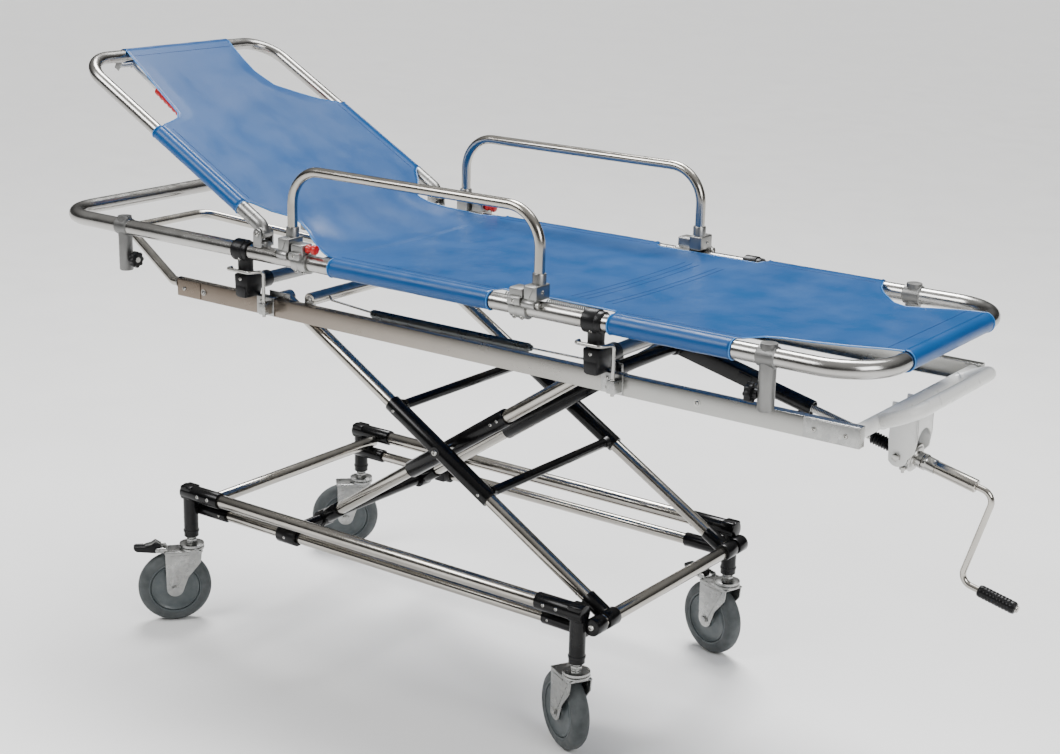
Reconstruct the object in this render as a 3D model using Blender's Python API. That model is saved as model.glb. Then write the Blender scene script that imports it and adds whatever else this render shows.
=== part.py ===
"""Stretcher trolley: a tubular stretcher with a sling cover, carried on a crank-raised scissor trolley.

Metres, +Z up.  +X points to the foot end (the crank), -Y is the near side, the floor is Z = 0.
Every function below builds in the trolley's own frame, whose origin lies on the floor midway
between the four base posts; place_in_row_frame() then shifts everything so that the origin
is the middle of the bounding box's base.
"""
import math

import bmesh
import bpy
from mathutils import Matrix, Vector

# ---------------------------------------------------------------- driving dimensions
ROW_SHIFT = Vector((-0.1543, 0.0268, 0.0))   # trolley frame to row frame
GAP = 0.0003                                 # clearance between touching pieces
NEAR, FAR = -1, 1
HEAD, FOOT = -1, 1
SIDE_NAMES = {NEAR: "near", FAR: "far"}
END_NAMES = {HEAD: "head", FOOT: "foot"}

# castor-carried base
POST_X, POST_Y = 0.484, 0.266
POST_R = 0.015
POST_BOTTOM = 0.182
BASE_RAIL_Z, BASE_RAIL_R = 0.2775, 0.0135
SLEEVE_R = 0.0165
SOCKET_REACH_X = 0.397
SLIDE_RAIL_Y, SLIDE_RAIL_Z, SLIDE_RAIL_R = 0.244, 0.240, 0.011
HEAD_CROSS_X, HEAD_CROSS_Z = -0.432, 0.2685
CROSS_R = 0.0125

# castors
WHEEL_R, WHEEL_WIDTH = 0.075, 0.034
CASTOR_TRAIL = 0.037
TRAIL_ANGLE = {(HEAD, NEAR): 229.6, (HEAD, FAR): 224.6, (FOOT, NEAR): 152.0, (FOOT, FAR): 163.6}
FORK_TOP = 0.1735
BRAKE_HINGE_U, BRAKE_HINGE_Z = 0.069, 0.159     # along the trail from the post, height
BRAKED = ((HEAD, NEAR), (FOOT, FAR))

# scissor: pivots as (x, z); the legs cross at CENTRE
PIVOT_A = Vector((0.511, 0.255))      # outer legs on the base's foot cross tube
PIVOT_B = Vector((-0.262, 0.715))     # outer legs on the upper rails
CENTRE = (PIVOT_A + PIVOT_B) / 2
PIVOT_C = Vector((-0.2150, 0.255))    # inner legs on the lower slider
PIVOT_D = 2 * CENTRE - PIVOT_C        # inner legs on the upper slider
OUTER_LEG_Y, INNER_LEG_Y = 0.208, 0.155
LEG_R = 0.0125
LEG_SLEEVE_R = 0.0165
LEG_SLEEVE_HALF = 0.137
BRACE_R = 0.0095
PIN_R = 0.006

# upper frame of the trolley
RAIL_X0, RAIL_X1 = -0.526, 0.984
RAIL_Y, RAIL_Z0, RAIL_Z1 = 0.244, 0.683, 0.718
RAIL_DEPTH, RAIL_WALL = 0.018, 0.0025
ANCHOR_X, ANCHOR_Z = -0.188, 0.7255
HEAD_BOW_R = 0.0095
HEAD_BOW_CORNER = Vector((-0.812, 0.112, 0.760))
HANDLE_R = 0.0125
HANDLE_X, HANDLE_Z, HANDLE_WELD_Y = 0.970, 0.703, 0.145
HANDLE_CORNER = Vector((1.035, 0.205, 0.731))
SADDLE_X = {HEAD: -0.313, FOOT: 0.501}
SADDLE_CROSS_Z = 0.7455
SADDLE_TOP = 0.766
BAIL_OFFSET = {HEAD: 0.043, FOOT: 0.034}
BAIL_Y, BAIL_R = 0.262, 0.003

# lifting jack and crank
JACK_PIN = Vector((0.505, 0.0, 0.7155))
GEAR_PIN = Vector((0.954, 0.0, 0.609))
JACK_TUBE_LENGTH = 0.282
JACK_BORE_R = 0.0115
SCREW_R, SCREW_LENGTH = 0.007, 0.326
CRANK_ARM, CRANK_GRIP_LENGTH = 0.1685, 0.068
CRANK_R = 0.0055

# stretcher
TUBE_Y, TUBE_Z, TUBE_R = 0.268, 0.811, 0.0155
LOOP_X0, LOOP_X1, LOOP_BEND = -0.853, 1.008, 0.095
LOOP_SPLIT_X = 0.070
STUB_X = {HEAD: -0.647, FOOT: 0.829}
STUB_R, STUB_BOTTOM, STUB_TOP = 0.014, 0.721, 0.8335
KNOB_Z = 0.746
RAIL_POST_X = (-0.190, 0.380)
RAIL_POST_Y, RAIL_TOP_Z, RAIL_TUBE_R = 0.264, 0.984, 0.0095
RAIL_HINGE_Y, RAIL_HINGE_Z = 0.290, 0.824
RAIL_CLAMP_X = (-0.158, 0.349)
BACK_HINGE_X, BACK_HINGE_Z = -0.268, 0.851
BACK_TOP_X, BACK_TOP_Z = -0.765, 1.132
BACK_Y, BACK_R = 0.262, 0.0125
COVER_T = 0.003

RING_SIDES = 16                        # sides of a round tube

FINISHES = {
    # name: (linear colour, roughness, metallic)
    "chromed_tube": ((0.52, 0.51, 0.48), 0.20, 1.0),
    "aluminium_tube": ((0.60, 0.59, 0.57), 0.32, 1.0),
    "galvanised": ((0.48, 0.48, 0.46), 0.38, 1.0),
    "black_paint": ((0.010, 0.010, 0.011), 0.42, 0.0),
    "white_paint": ((0.74, 0.74, 0.71), 0.35, 0.0),
    "black_plastic": ((0.012, 0.012, 0.013), 0.50, 0.0),
    "red_plastic": ((0.55, 0.010, 0.010), 0.35, 0.0),
    "grey_tyre": ((0.085, 0.100, 0.102), 0.60, 0.0),
    "blue_cover": ((0.010, 0.135, 0.470), 0.35, 0.0),
}


# ---------------------------------------------------------------- small helpers
def clear_scene():
    for old in list(bpy.data.objects):
        bpy.data.objects.remove(old, do_unlink=True)


def finish(name):
    """The named finish as a Principled material, made once."""
    if name in bpy.data.materials:
        return bpy.data.materials[name]
    colour, roughness, metallic = FINISHES[name]
    material = bpy.data.materials.new(name)
    material.use_nodes = True
    shader = material.node_tree.nodes["Principled BSDF"]
    shader.inputs["Base Color"].default_value = (*colour, 1.0)
    shader.inputs["Roughness"].default_value = roughness
    shader.inputs["Metallic"].default_value = metallic
    return material


def as_object(bm, name="shape"):
    bmesh.ops.recalc_face_normals(bm, faces=bm.faces)
    mesh = bpy.data.meshes.new(name)
    bm.to_mesh(mesh)
    bm.free()
    made = bpy.data.objects.new(name, mesh)
    bpy.context.scene.collection.objects.link(made)
    return made


def box(low, high, bevel=0.0, segments=1):
    """An upright block between two corners, given in any order."""
    low, high = Vector(low), Vector(high)
    size = high - low
    bm = bmesh.new()
    scale = Matrix.Diagonal((abs(size.x), abs(size.y), abs(size.z), 1.0))
    bmesh.ops.create_cube(bm, size=1.0, matrix=Matrix.Translation((low + high) / 2) @ scale)
    if bevel:
        bmesh.ops.bevel(bm, geom=bm.edges[:], offset=bevel, segments=segments, profile=0.5,
                        affect="EDGES", clamp_overlap=True, material=-1)
    return as_object(bm)


def turn_to(direction):
    """The rotation that takes +Z to a direction."""
    return Vector(direction).to_track_quat("Z", "Y").to_matrix().to_4x4()


def rod(start, end, radius, sides=RING_SIDES, end_radius=None):
    """A solid round bar between two points, tapering if an end radius is given."""
    start, end = Vector(start), Vector(end)
    bm = bmesh.new()
    place = Matrix.Translation((start + end) / 2) @ turn_to(end - start)
    bmesh.ops.create_cone(bm, cap_ends=True, segments=sides, radius1=radius,
                          radius2=radius if end_radius is None else end_radius,
                          depth=(end - start).length, matrix=place)
    return as_object(bm)


def turned(profile, start, direction, sides=RING_SIDES, phase=0.0):
    """A closed (radius, height) outline spun about an axis through start; radii stay above 0."""
    bm = bmesh.new()
    ring = [bm.verts.new((radius, 0.0, height)) for radius, height in profile]
    edges = [bm.edges.new((ring[i], ring[(i + 1) % len(ring)])) for i in range(len(ring))]
    bmesh.ops.spin(bm, geom=ring + edges, cent=(0, 0, 0), axis=(0, 0, 1), dvec=(0, 0, 0),
                   angle=math.tau, steps=sides, use_merge=True, use_duplicate=False)
    bmesh.ops.remove_doubles(bm, verts=bm.verts, dist=1e-6)
    place = Matrix.Translation(Vector(start)) @ turn_to(direction) @ Matrix.Rotation(phase, 4, "Z")
    bmesh.ops.transform(bm, matrix=place, verts=bm.verts)
    return as_object(bm)


def collar(start, end, outer, inner, sides=RING_SIDES):
    """A round ring with an open bore between two points."""
    start, end = Vector(start), Vector(end)
    length = (end - start).length
    return turned([(inner, 0), (outer, 0), (outer, length), (inner, length)],
                  start, end - start, sides)


def plate(outline, thickness, place):
    """A flat outline of (u, v) points, thickened evenly about the plane that place gives."""
    bm = bmesh.new()
    corners = [bm.verts.new((u, v, -thickness / 2)) for u, v in outline]
    face = bm.faces.new(corners)
    grown = bmesh.ops.extrude_face_region(bm, geom=[face])
    lifted = [item for item in grown["geom"] if isinstance(item, bmesh.types.BMVert)]
    bmesh.ops.translate(bm, vec=(0, 0, thickness), verts=lifted)
    bmesh.ops.transform(bm, matrix=place, verts=bm.verts)
    return as_object(bm)


def upright_plane(y):
    """Places a plate's (u, v) outline as (x, z) at a given y."""
    return Matrix.Translation((0, y, 0)) @ Matrix.Rotation(math.pi / 2, 4, "X")


def arc(centre_u, centre_v, radius, start_deg, end_deg, steps):
    """Points along an arc in a flat outline."""
    angles = [math.radians(start_deg + (end_deg - start_deg) * i / steps) for i in range(steps + 1)]
    return [(centre_u + radius * math.cos(a), centre_v + radius * math.sin(a)) for a in angles]


def rounded_route(corners, bends, steps=4):
    """The centre line through corner points, each inner corner replaced with a round bend."""
    corners = [Vector(corner) for corner in corners]
    if not isinstance(bends, tuple):
        bends = (bends,) * (len(corners) - 2)
    route = [corners[0]]
    for before, corner, after, bend in zip(corners, corners[1:], corners[2:], bends):
        into, out = (before - corner).normalized(), (after - corner).normalized()
        half_angle = into.angle(out) / 2
        reach = bend / math.tan(half_angle)
        centre = corner + (into + out).normalized() * (bend / math.sin(half_angle))
        first, last = corner + into * reach - centre, corner + out * reach - centre
        for step in range(steps + 1):
            route.append(centre + first.normalized().slerp(last.normalized(), step / steps) * bend)
    route.append(corners[-1])
    return route


def bent_tube(corners, radius, bend, steps=4, sides=12):
    """A bar along a route with round bends, as a bevelled curve turned into a mesh."""
    route = rounded_route(corners, bend, steps)
    curve = bpy.data.curves.new("route", "CURVE")
    curve.dimensions = "3D"
    curve.bevel_depth = radius
    curve.bevel_resolution = sides // 2 - 2
    curve.use_fill_caps = True
    spline = curve.splines.new("POLY")
    spline.points.add(len(route) - 1)
    for point, place in zip(spline.points, route):
        point.co = (*place, 1.0)
    made = bpy.data.objects.new("bent_tube", curve)
    bpy.context.scene.collection.objects.link(made)
    mesh = baked_mesh(made)
    bpy.data.objects.remove(made)
    bm = bmesh.new()
    bm.from_mesh(mesh)
    bmesh.ops.remove_doubles(bm, verts=bm.verts, dist=1e-6)
    return as_object(bm)


def baked_mesh(thing):
    depsgraph = bpy.context.evaluated_depsgraph_get()
    return bpy.data.meshes.new_from_object(thing.evaluated_get(depsgraph))


def combine(base, others, operation):
    """Boolean the others into base one after another, and remove them."""
    for other in others:
        step = base.modifiers.new("combine", "BOOLEAN")
        step.operation = operation
        step.solver = "EXACT"
        step.object = other
        mesh = baked_mesh(base)
        base.modifiers.clear()
        base.data = mesh
        bpy.data.objects.remove(other)
    return base


def fuse(*solids):
    return combine(solids[0], solids[1:], "UNION")


def cut(base, *cutters):
    return combine(base, cutters, "DIFFERENCE")


def node(name, solid, finish_name, pivot=(0, 0, 0), parent=None):
    """Names a finished solid, gives it its finish and puts its origin on its joint's axis."""
    pivot = Vector(pivot)
    solid.name = name
    mesh = solid.data
    mesh.name = name
    mesh.transform(Matrix.Translation(-pivot))
    mesh.materials.clear()
    mesh.materials.append(finish(finish_name))
    mesh.shade_smooth()
    mesh.set_sharp_from_angle(angle=math.radians(35))
    solid.location = pivot
    if parent is not None:
        solid.parent = parent
        solid.matrix_parent_inverse = Matrix.Translation(-parent.location)
    return solid


def leg_point(pivot, y, distance):
    """A point on a leg's line, measured from the scissor's centre towards a pivot."""
    along = (pivot - CENTRE).normalized() * distance
    return Vector((CENTRE.x + along.x, y, CENTRE.y + along.y))


def at(pivot, y):
    return Vector((pivot.x, y, pivot.y))


def mirrored(point):
    return Vector((point.x, -point.y, point.z))


# ---------------------------------------------------------------- base
def corner_socket(end, side):
    """Elbow socket: upright castor post, top sleeve for the base rail, web and slide rail sleeve."""
    x, y = end * POST_X, side * POST_Y
    reach = end * SOCKET_REACH_X
    post = rod((x, y, POST_BOTTOM), (x, y, BASE_RAIL_Z + SLEEVE_R - 0.0013), POST_R)
    top = rod((x + end * POST_R, y, BASE_RAIL_Z), (reach, y, BASE_RAIL_Z), SLEEVE_R)
    low = rod((end * (SOCKET_REACH_X + 0.034), side * SLIDE_RAIL_Y, SLIDE_RAIL_Z),
              (reach, side * SLIDE_RAIL_Y, SLIDE_RAIL_Z), SLIDE_RAIL_R + 0.004)
    web_edge = POST_X - POST_R + 0.004
    outline = [(web_edge, BASE_RAIL_Z), (SOCKET_REACH_X + 0.002, BASE_RAIL_Z),
               (SOCKET_REACH_X + 0.002, 0.2265), (SOCKET_REACH_X + 0.032, 0.2265)]
    outline += arc(SOCKET_REACH_X + 0.034, 0.187, 0.040, 88, 12, 5) + [(web_edge, 0.195)]
    web = plate([(end * u, v) for u, v in outline], 0.014, upright_plane(side * 0.2555))
    solids = [post, top, web, low]
    if end == FOOT:
        solids.append(rod((PIVOT_A.x, side * 0.2335, PIVOT_A.y), (PIVOT_A.x, side * 0.264, PIVOT_A.y),
                          SLEEVE_R))
    name = f"corner_socket_{END_NAMES[end]}_{SIDE_NAMES[side]}"
    return node(name, fuse(*solids), "black_paint")


def base_frame():
    for side in (NEAR, FAR):
        for end in (HEAD, FOOT):
            corner_socket(end, side)
        reach = SOCKET_REACH_X - GAP
        y = side * POST_Y
        node(f"base_rail_{SIDE_NAMES[side]}",
             rod((-reach, y, BASE_RAIL_Z), (reach, y, BASE_RAIL_Z), BASE_RAIL_R), "chromed_tube")
        y = side * SLIDE_RAIL_Y
        node(f"slide_rail_{SIDE_NAMES[side]}",
             rod((-reach, y, SLIDE_RAIL_Z), (reach, y, SLIDE_RAIL_Z), SLIDE_RAIL_R), "chromed_tube")
    reach = 0.2485 - GAP
    node("base_cross_head", rod((HEAD_CROSS_X, -reach, HEAD_CROSS_Z),
                                (HEAD_CROSS_X, reach, HEAD_CROSS_Z), CROSS_R), "chromed_tube")
    reach = 0.2335 - GAP
    node("base_cross_foot", rod((PIVOT_A.x, -reach, PIVOT_A.y), (PIVOT_A.x, reach, PIVOT_A.y),
                                CROSS_R), "chromed_tube")


# ---------------------------------------------------------------- castors
def castor_fork(end, side):
    """Swivel head and two-legged fork with the axle bolt, turning about the post's axis."""
    angle = math.radians(TRAIL_ANGLE[end, side])
    turn = Matrix.Rotation(angle, 4, "Z")
    head = fuse(rod((0, 0, FORK_TOP - 0.020), (0, 0, FORK_TOP - 0.006), 0.0255, 20),
                rod((0, 0, FORK_TOP - 0.006), (0, 0, POST_BOTTOM - GAP), 0.0110, 6))
    inside = WHEEL_WIDTH / 2 + 0.0022
    crown = box((-0.0205, -inside - 0.0034, FORK_TOP - 0.0215),
                (CASTOR_TRAIL + 0.0205, inside + 0.0034, FORK_TOP - 0.0180))
    outline = [(-0.020, FORK_TOP - 0.0190), (CASTOR_TRAIL + 0.020, FORK_TOP - 0.0190),
               (CASTOR_TRAIL + 0.016, WHEEL_R)]
    outline += arc(CASTOR_TRAIL, WHEEL_R, 0.016, 0, -150, 5)
    cheeks = [plate(outline, 0.003, upright_plane(hand * (inside + 0.0015))) for hand in (-1, 1)]
    axle = rod((CASTOR_TRAIL, -inside - 0.007, WHEEL_R), (CASTOR_TRAIL, inside + 0.007, WHEEL_R),
               0.0055, 12)
    fork = fuse(crown, head, *cheeks, axle)
    if (end, side) in BRAKED:
        fuse(fork, brake_bracket())
    fork.data.transform(Matrix.Translation((end * POST_X, side * POST_Y, 0)) @ turn)
    name = f"castor_fork_{END_NAMES[end]}_{SIDE_NAMES[side]}"
    return node(name, fork, "galvanised", pivot=(end * POST_X, side * POST_Y, FORK_TOP))


def castor_wheel(end, side, fork):
    """Wheel with a crowned tread and a raised hub; a tread facet lies flat on the floor."""
    half = WHEEL_WIDTH / 2
    sides = 24
    rim = WHEEL_R / math.cos(math.pi / sides)
    profile = [(0.0060, -half + 0.001), (0.018, -half + 0.001), (0.020, -half + 0.004),
               (0.052, -half + 0.004), (0.055, -half + 0.002), (rim - 0.008, -half + 0.003),
               (rim, -0.006)]
    profile += [(radius, -height) for radius, height in reversed(profile)]
    angle = math.radians(TRAIL_ANGLE[end, side])
    centre = Vector((end * POST_X + CASTOR_TRAIL * math.cos(angle),
                     side * POST_Y + CASTOR_TRAIL * math.sin(angle), WHEEL_R))
    bm_axis = Vector((-math.sin(angle), math.cos(angle), 0.0))
    wheel = turned(profile, (0, 0, 0), (0, 0, 1), sides, phase=math.pi / sides)
    wheel.data.transform(Matrix.Rotation(math.pi / 2, 4, "X"))
    wheel.data.transform(Matrix.Rotation(-math.pi / 2, 4, "Y"))
    wheel.data.transform(Matrix.Rotation(math.atan2(bm_axis.y, bm_axis.x) - math.pi / 2, 4, "Z"))
    wheel.data.transform(Matrix.Translation(centre))
    name = f"castor_wheel_{END_NAMES[end]}_{SIDE_NAMES[side]}"
    return node(name, wheel, "grey_tyre", pivot=centre, parent=fork)


def brake_pedal(end, side, fork):
    """Toe lever hinged on the fork's trailing edge, with a shoe that comes down on the tread."""
    angle = math.radians(TRAIL_ANGLE[end, side])
    hinge_u, hinge_z = BRAKE_HINGE_U, BRAKE_HINGE_Z
    lever = [(-0.008, -0.007), (0.006, -0.008), (0.044, -0.003), (0.050, 0.003), (0.048, 0.010),
             (0.012, 0.010), (0.004, 0.016), (-0.006, 0.010)]
    arm = plate([(hinge_u + u, hinge_z + v) for u, v in lever], 0.022, upright_plane(0.0))
    bore = rod((hinge_u, -0.03, hinge_z), (hinge_u, 0.03, hinge_z), 0.0034, 12)
    pedal = cut(arm, bore)
    place = Matrix.Translation((end * POST_X, side * POST_Y, 0)) @ Matrix.Rotation(angle, 4, "Z")
    pedal.data.transform(place)
    name = f"brake_pedal_{END_NAMES[end]}_{SIDE_NAMES[side]}"
    return node(name, pedal, "black_plastic", pivot=place @ Vector((hinge_u, 0, hinge_z)), parent=fork)


def brake_bracket():
    """Two ears and the hinge pin of a brake pedal, welded to the fork's crown."""
    hinge_u, hinge_z = BRAKE_HINGE_U, BRAKE_HINGE_Z
    outline = [(hinge_u - 0.022, 0.1528), (hinge_u + 0.004, 0.1540), (hinge_u + 0.006, 0.1630),
               (hinge_u - 0.016, 0.1640)]
    ears = [plate(outline, 0.003, upright_plane(hand * 0.0155)) for hand in (-1, 1)]
    pin = rod((hinge_u, -0.0165, hinge_z), (hinge_u, 0.0165, hinge_z), 0.0030, 12)
    return fuse(pin, *ears)


def castors():
    for end, side in TRAIL_ANGLE:
        fork = castor_fork(end, side)
        castor_wheel(end, side, fork)
        if (end, side) in BRAKED:
            brake_pedal(end, side, fork)


# ---------------------------------------------------------------- scissor
def outer_legs():
    """Outer leg pair, joined by two braces between the black sleeves round the centre pivots."""
    solids = []
    for side in (NEAR, FAR):
        y = side * OUTER_LEG_Y
        leg = rod(at(PIVOT_A, y), at(PIVOT_B, y), LEG_R)
        hinge = rod((PIVOT_A.x, y - 0.017, PIVOT_A.y), (PIVOT_A.x, y + 0.017, PIVOT_A.y), SLEEVE_R)
        socket = rod(at(PIVOT_A, y), leg_point(PIVOT_A, y, (PIVOT_A - CENTRE).length - 0.055),
                     LEG_R + 0.0025)
        eye = rod((PIVOT_B.x, y - LEG_R, PIVOT_B.y), (PIVOT_B.x, y + LEG_R, PIVOT_B.y), 0.014)
        sleeve = rod(leg_point(PIVOT_A, y, LEG_SLEEVE_HALF), leg_point(PIVOT_B, y, LEG_SLEEVE_HALF),
                     LEG_SLEEVE_R)
        pin = rod(at(CENTRE, side * (OUTER_LEG_Y + LEG_SLEEVE_R + 0.003)),
                  at(CENTRE, side * (INNER_LEG_Y - 0.010)), PIN_R, 12)
        leg = fuse(leg, hinge, socket, eye, sleeve, pin)
        solids.append(cut(leg, rod((PIVOT_A.x, y - 0.03, PIVOT_A.y), (PIVOT_A.x, y + 0.03, PIVOT_A.y),
                                   CROSS_R + GAP, 24),
                          rod((PIVOT_B.x, y - 0.03, PIVOT_B.y), (PIVOT_B.x, y + 0.03, PIVOT_B.y),
                              PIN_R + GAP, 12)))
    for towards in (PIVOT_A, PIVOT_B):
        solids.append(rod(leg_point(towards, -OUTER_LEG_Y, LEG_SLEEVE_HALF - 0.014),
                          leg_point(towards, OUTER_LEG_Y, LEG_SLEEVE_HALF - 0.014), BRACE_R, 12))
    node("outer_leg_frame", fuse(*solids), "black_paint", pivot=at(PIVOT_A, 0))


def inner_leg(side):
    """Inner leg with its sleeve; the centre pin of the outer leg turns in its bore."""
    y = side * INNER_LEG_Y
    leg = rod(at(PIVOT_C, y), at(PIVOT_D, y), LEG_R)
    sleeve = rod(leg_point(PIVOT_C, y, LEG_SLEEVE_HALF), leg_point(PIVOT_D, y, LEG_SLEEVE_HALF),
                 LEG_SLEEVE_R)
    foot = rod((PIVOT_C.x, y - 0.014, PIVOT_C.y), (PIVOT_C.x, y + 0.014, PIVOT_C.y), SLEEVE_R)
    eye = rod((PIVOT_D.x, y - 0.014, PIVOT_D.y), (PIVOT_D.x, y + 0.014, PIVOT_D.y), 0.014)
    leg = fuse(leg, sleeve, foot, eye)
    bores = [rod((pivot.x, y - 0.03, pivot.y), (pivot.x, y + 0.03, pivot.y), radius + GAP, sides)
             for pivot, radius, sides in ((PIVOT_C, 0.0105, 20), (PIVOT_D, PIN_R, 12),
                                          (CENTRE, PIN_R, 12))]
    node(f"inner_leg_{SIDE_NAMES[side]}", cut(leg, *bores), "chromed_tube", pivot=at(CENTRE, 0))


def lower_slider():
    """Cross bar under the inner legs with a clamp shoe round each slide rail."""
    bar = rod((PIVOT_C.x, -0.222, PIVOT_C.y), (PIVOT_C.x, 0.222, PIVOT_C.y), 0.0105, 16)
    solids = [bar]
    for side in (NEAR, FAR):
        y = side * SLIDE_RAIL_Y
        solids.append(rod((PIVOT_C.x - 0.036, y, SLIDE_RAIL_Z), (PIVOT_C.x + 0.012, y, SLIDE_RAIL_Z),
                          0.0175))
        solids.append(box((PIVOT_C.x - 0.014, side * 0.216, SLIDE_RAIL_Z - 0.010),
                          (PIVOT_C.x + 0.012, side * 0.236, PIVOT_C.y + 0.0095)))
    shoe = fuse(*solids)
    bores = [rod((PIVOT_C.x - 0.06, side * SLIDE_RAIL_Y, SLIDE_RAIL_Z),
                 (PIVOT_C.x + 0.06, side * SLIDE_RAIL_Y, SLIDE_RAIL_Z), SLIDE_RAIL_R + 0.0016)
             for side in (NEAR, FAR)]
    node("lower_slider", cut(shoe, *bores), "black_plastic", pivot=at(PIVOT_C, 0))


def upper_slider():
    """Carriage pushed by the jack: cross tube, side plates, pins and shoes inside the rails."""
    plate_y = 0.2075
    solids = [rod((JACK_PIN.x, -plate_y, JACK_PIN.z), (JACK_PIN.x, plate_y, JACK_PIN.z), 0.0120)]
    for side in (NEAR, FAR):
        outline = [(PIVOT_D.x - 0.010, 0.693), (JACK_PIN.x + 0.014, 0.693),
                   (JACK_PIN.x + 0.014, 0.7268), (PIVOT_D.x - 0.010, 0.7268)]
        solids.append(plate(outline, 0.006, upright_plane(side * plate_y)))
        solids.append(box((PIVOT_D.x - 0.010, side * 0.209, 0.6875),
                          (JACK_PIN.x + 0.014, side * 0.2400, 0.7135)))
        solids.append(rod((PIVOT_D.x, side * plate_y, PIVOT_D.y), (PIVOT_D.x, side * 0.134, PIVOT_D.y),
                          PIN_R, 12))
    node("upper_slider", fuse(*solids), "galvanised", pivot=at(PIVOT_D, 0))


def scissor():
    outer_legs()
    for side in (NEAR, FAR):
        inner_leg(side)
    lower_slider()
    upper_slider()


# ---------------------------------------------------------------- upper frame
def upper_rail(side):
    """C-shaped rail, open towards the middle, with a closed foot end and the leg's pivot bracket."""
    outer, inner = RAIL_Y, RAIL_Y - RAIL_DEPTH
    web = RAIL_Y - RAIL_WALL
    section = [(outer, RAIL_Z0), (outer, RAIL_Z1), (inner, RAIL_Z1), (inner, RAIL_Z1 - RAIL_WALL),
               (web, RAIL_Z1 - RAIL_WALL), (web, RAIL_Z0 + RAIL_WALL), (inner, RAIL_Z0 + RAIL_WALL),
               (inner, RAIL_Z0)]
    length = RAIL_X1 - RAIL_X0
    along = Matrix(((0, 0, 1, (RAIL_X0 + RAIL_X1) / 2), (1, 0, 0, 0), (0, 1, 0, 0), (0, 0, 0, 1)))
    rail = plate([(side * y, z) for y, z in section], length, along)
    end_block = box((RAIL_X1 - 0.030, side * (inner + 0.0002), RAIL_Z0 + 0.001),
                    (RAIL_X1 - 0.0002, side * (web + 0.0005), RAIL_Z1 - 0.001))
    end_cap = box((RAIL_X0 + 0.0002, side * (inner + 0.0002), RAIL_Z0 + 0.001),
                  (RAIL_X0 + 0.004, side * (web + 0.0005), RAIL_Z1 - 0.001))
    bracket = box((PIVOT_B.x - 0.026, side * 0.2245, RAIL_Z0 + 0.004),
                  (PIVOT_B.x + 0.026, side * 0.2275, PIVOT_B.y + 0.014))
    pin = rod((PIVOT_B.x, side * 0.2265, PIVOT_B.y), (PIVOT_B.x, side * 0.192, PIVOT_B.y), PIN_R, 12)
    holders = [box((bail_x(end) - 0.0080, side * (RAIL_Y - 0.0010), 0.6900),
                   (bail_x(end) + 0.0080, side * (BAIL_Y + 0.0060), 0.7120)) for end in (HEAD, FOOT)]
    bores = [rod((bail_x(end), side * BAIL_Y, 0.6800), (bail_x(end), side * BAIL_Y, 0.7200),
                 BAIL_R + 0.0004, 12) for end in (HEAD, FOOT)]
    rail = fuse(rail, end_block, end_cap, bracket, pin, *holders)
    node(f"upper_rail_{SIDE_NAMES[side]}", cut(rail, *bores), "galvanised")


def bail_x(end):
    """Where a latch wire stands beside its saddle."""
    return SADDLE_X[end] + BAIL_OFFSET[end]


def spring_anchor():
    """Cross tube between the rails that holds the head ends of the two springs."""
    reach = 0.2225
    solids = [rod((ANCHOR_X, -reach, ANCHOR_Z), (ANCHOR_X, reach, ANCHOR_Z), CROSS_R)]
    for side in (NEAR, FAR):
        solids.append(box((ANCHOR_X - 0.010, side * 0.2140, 0.7100),
                          (ANCHOR_X + 0.010, side * 0.2257, 0.7220)))
    node("spring_anchor", fuse(*solids), "galvanised")


def head_bow():
    """Round bar bow that closes the head end of the rails."""
    weld = Vector((RAIL_X0 - GAP, RAIL_Y - RAIL_DEPTH / 2, RAIL_Z1 - HEAD_BOW_R))
    knee = weld - Vector((0.018, 0, 0))
    corners = [mirrored(weld), mirrored(knee), mirrored(HEAD_BOW_CORNER),
               HEAD_BOW_CORNER, knee, weld]
    bow = bent_tube(corners, HEAD_BOW_R, (0.020, 0.045, 0.045, 0.020), 4)
    node("head_bow", bow, "chromed_tube")


def push_handle():
    """White weldment: end cross tube, handle bow and the gear bracket under them."""
    reach = RAIL_Y - RAIL_DEPTH - GAP
    tube = rod((HANDLE_X, -reach, HANDLE_Z), (HANDLE_X, reach, HANDLE_Z), HANDLE_R)
    bow = bent_tube([Vector((HANDLE_X, -HANDLE_WELD_Y, HANDLE_Z)),
                     Vector((HANDLE_CORNER.x, -HANDLE_CORNER.y, HANDLE_CORNER.z)),
                     HANDLE_CORNER, Vector((HANDLE_X, HANDLE_WELD_Y, HANDLE_Z))],
                    HANDLE_R - 0.0005, 0.036, 4)
    outline = [(0.938, 0.7025), (0.990, 0.7025), (0.986, 0.655), (0.972, 0.606)]
    outline += arc(GEAR_PIN.x, 0.609, 0.018, -10, -150, 4) + [(0.936, 0.640)]
    cheeks = [plate(outline, 0.004, upright_plane(hand * 0.029)) for hand in (-1, 1)]
    web = plate([(-0.031, 0.660), (0.031, 0.660), (0.031, 0.7025), (-0.031, 0.7025)], 0.004,
                Matrix(((0, 0, 1, 0.985), (1, 0, 0, 0), (0, 1, 0, 0), (0, 0, 0, 1))))
    pins = [rod((GEAR_PIN.x, hand * 0.036, GEAR_PIN.z), (GEAR_PIN.x, hand * 0.0215, GEAR_PIN.z),
                0.005, 12) for hand in (-1, 1)]
    node("push_handle", fuse(tube, bow, *cheeks, web, *pins), "white_paint")


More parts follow.
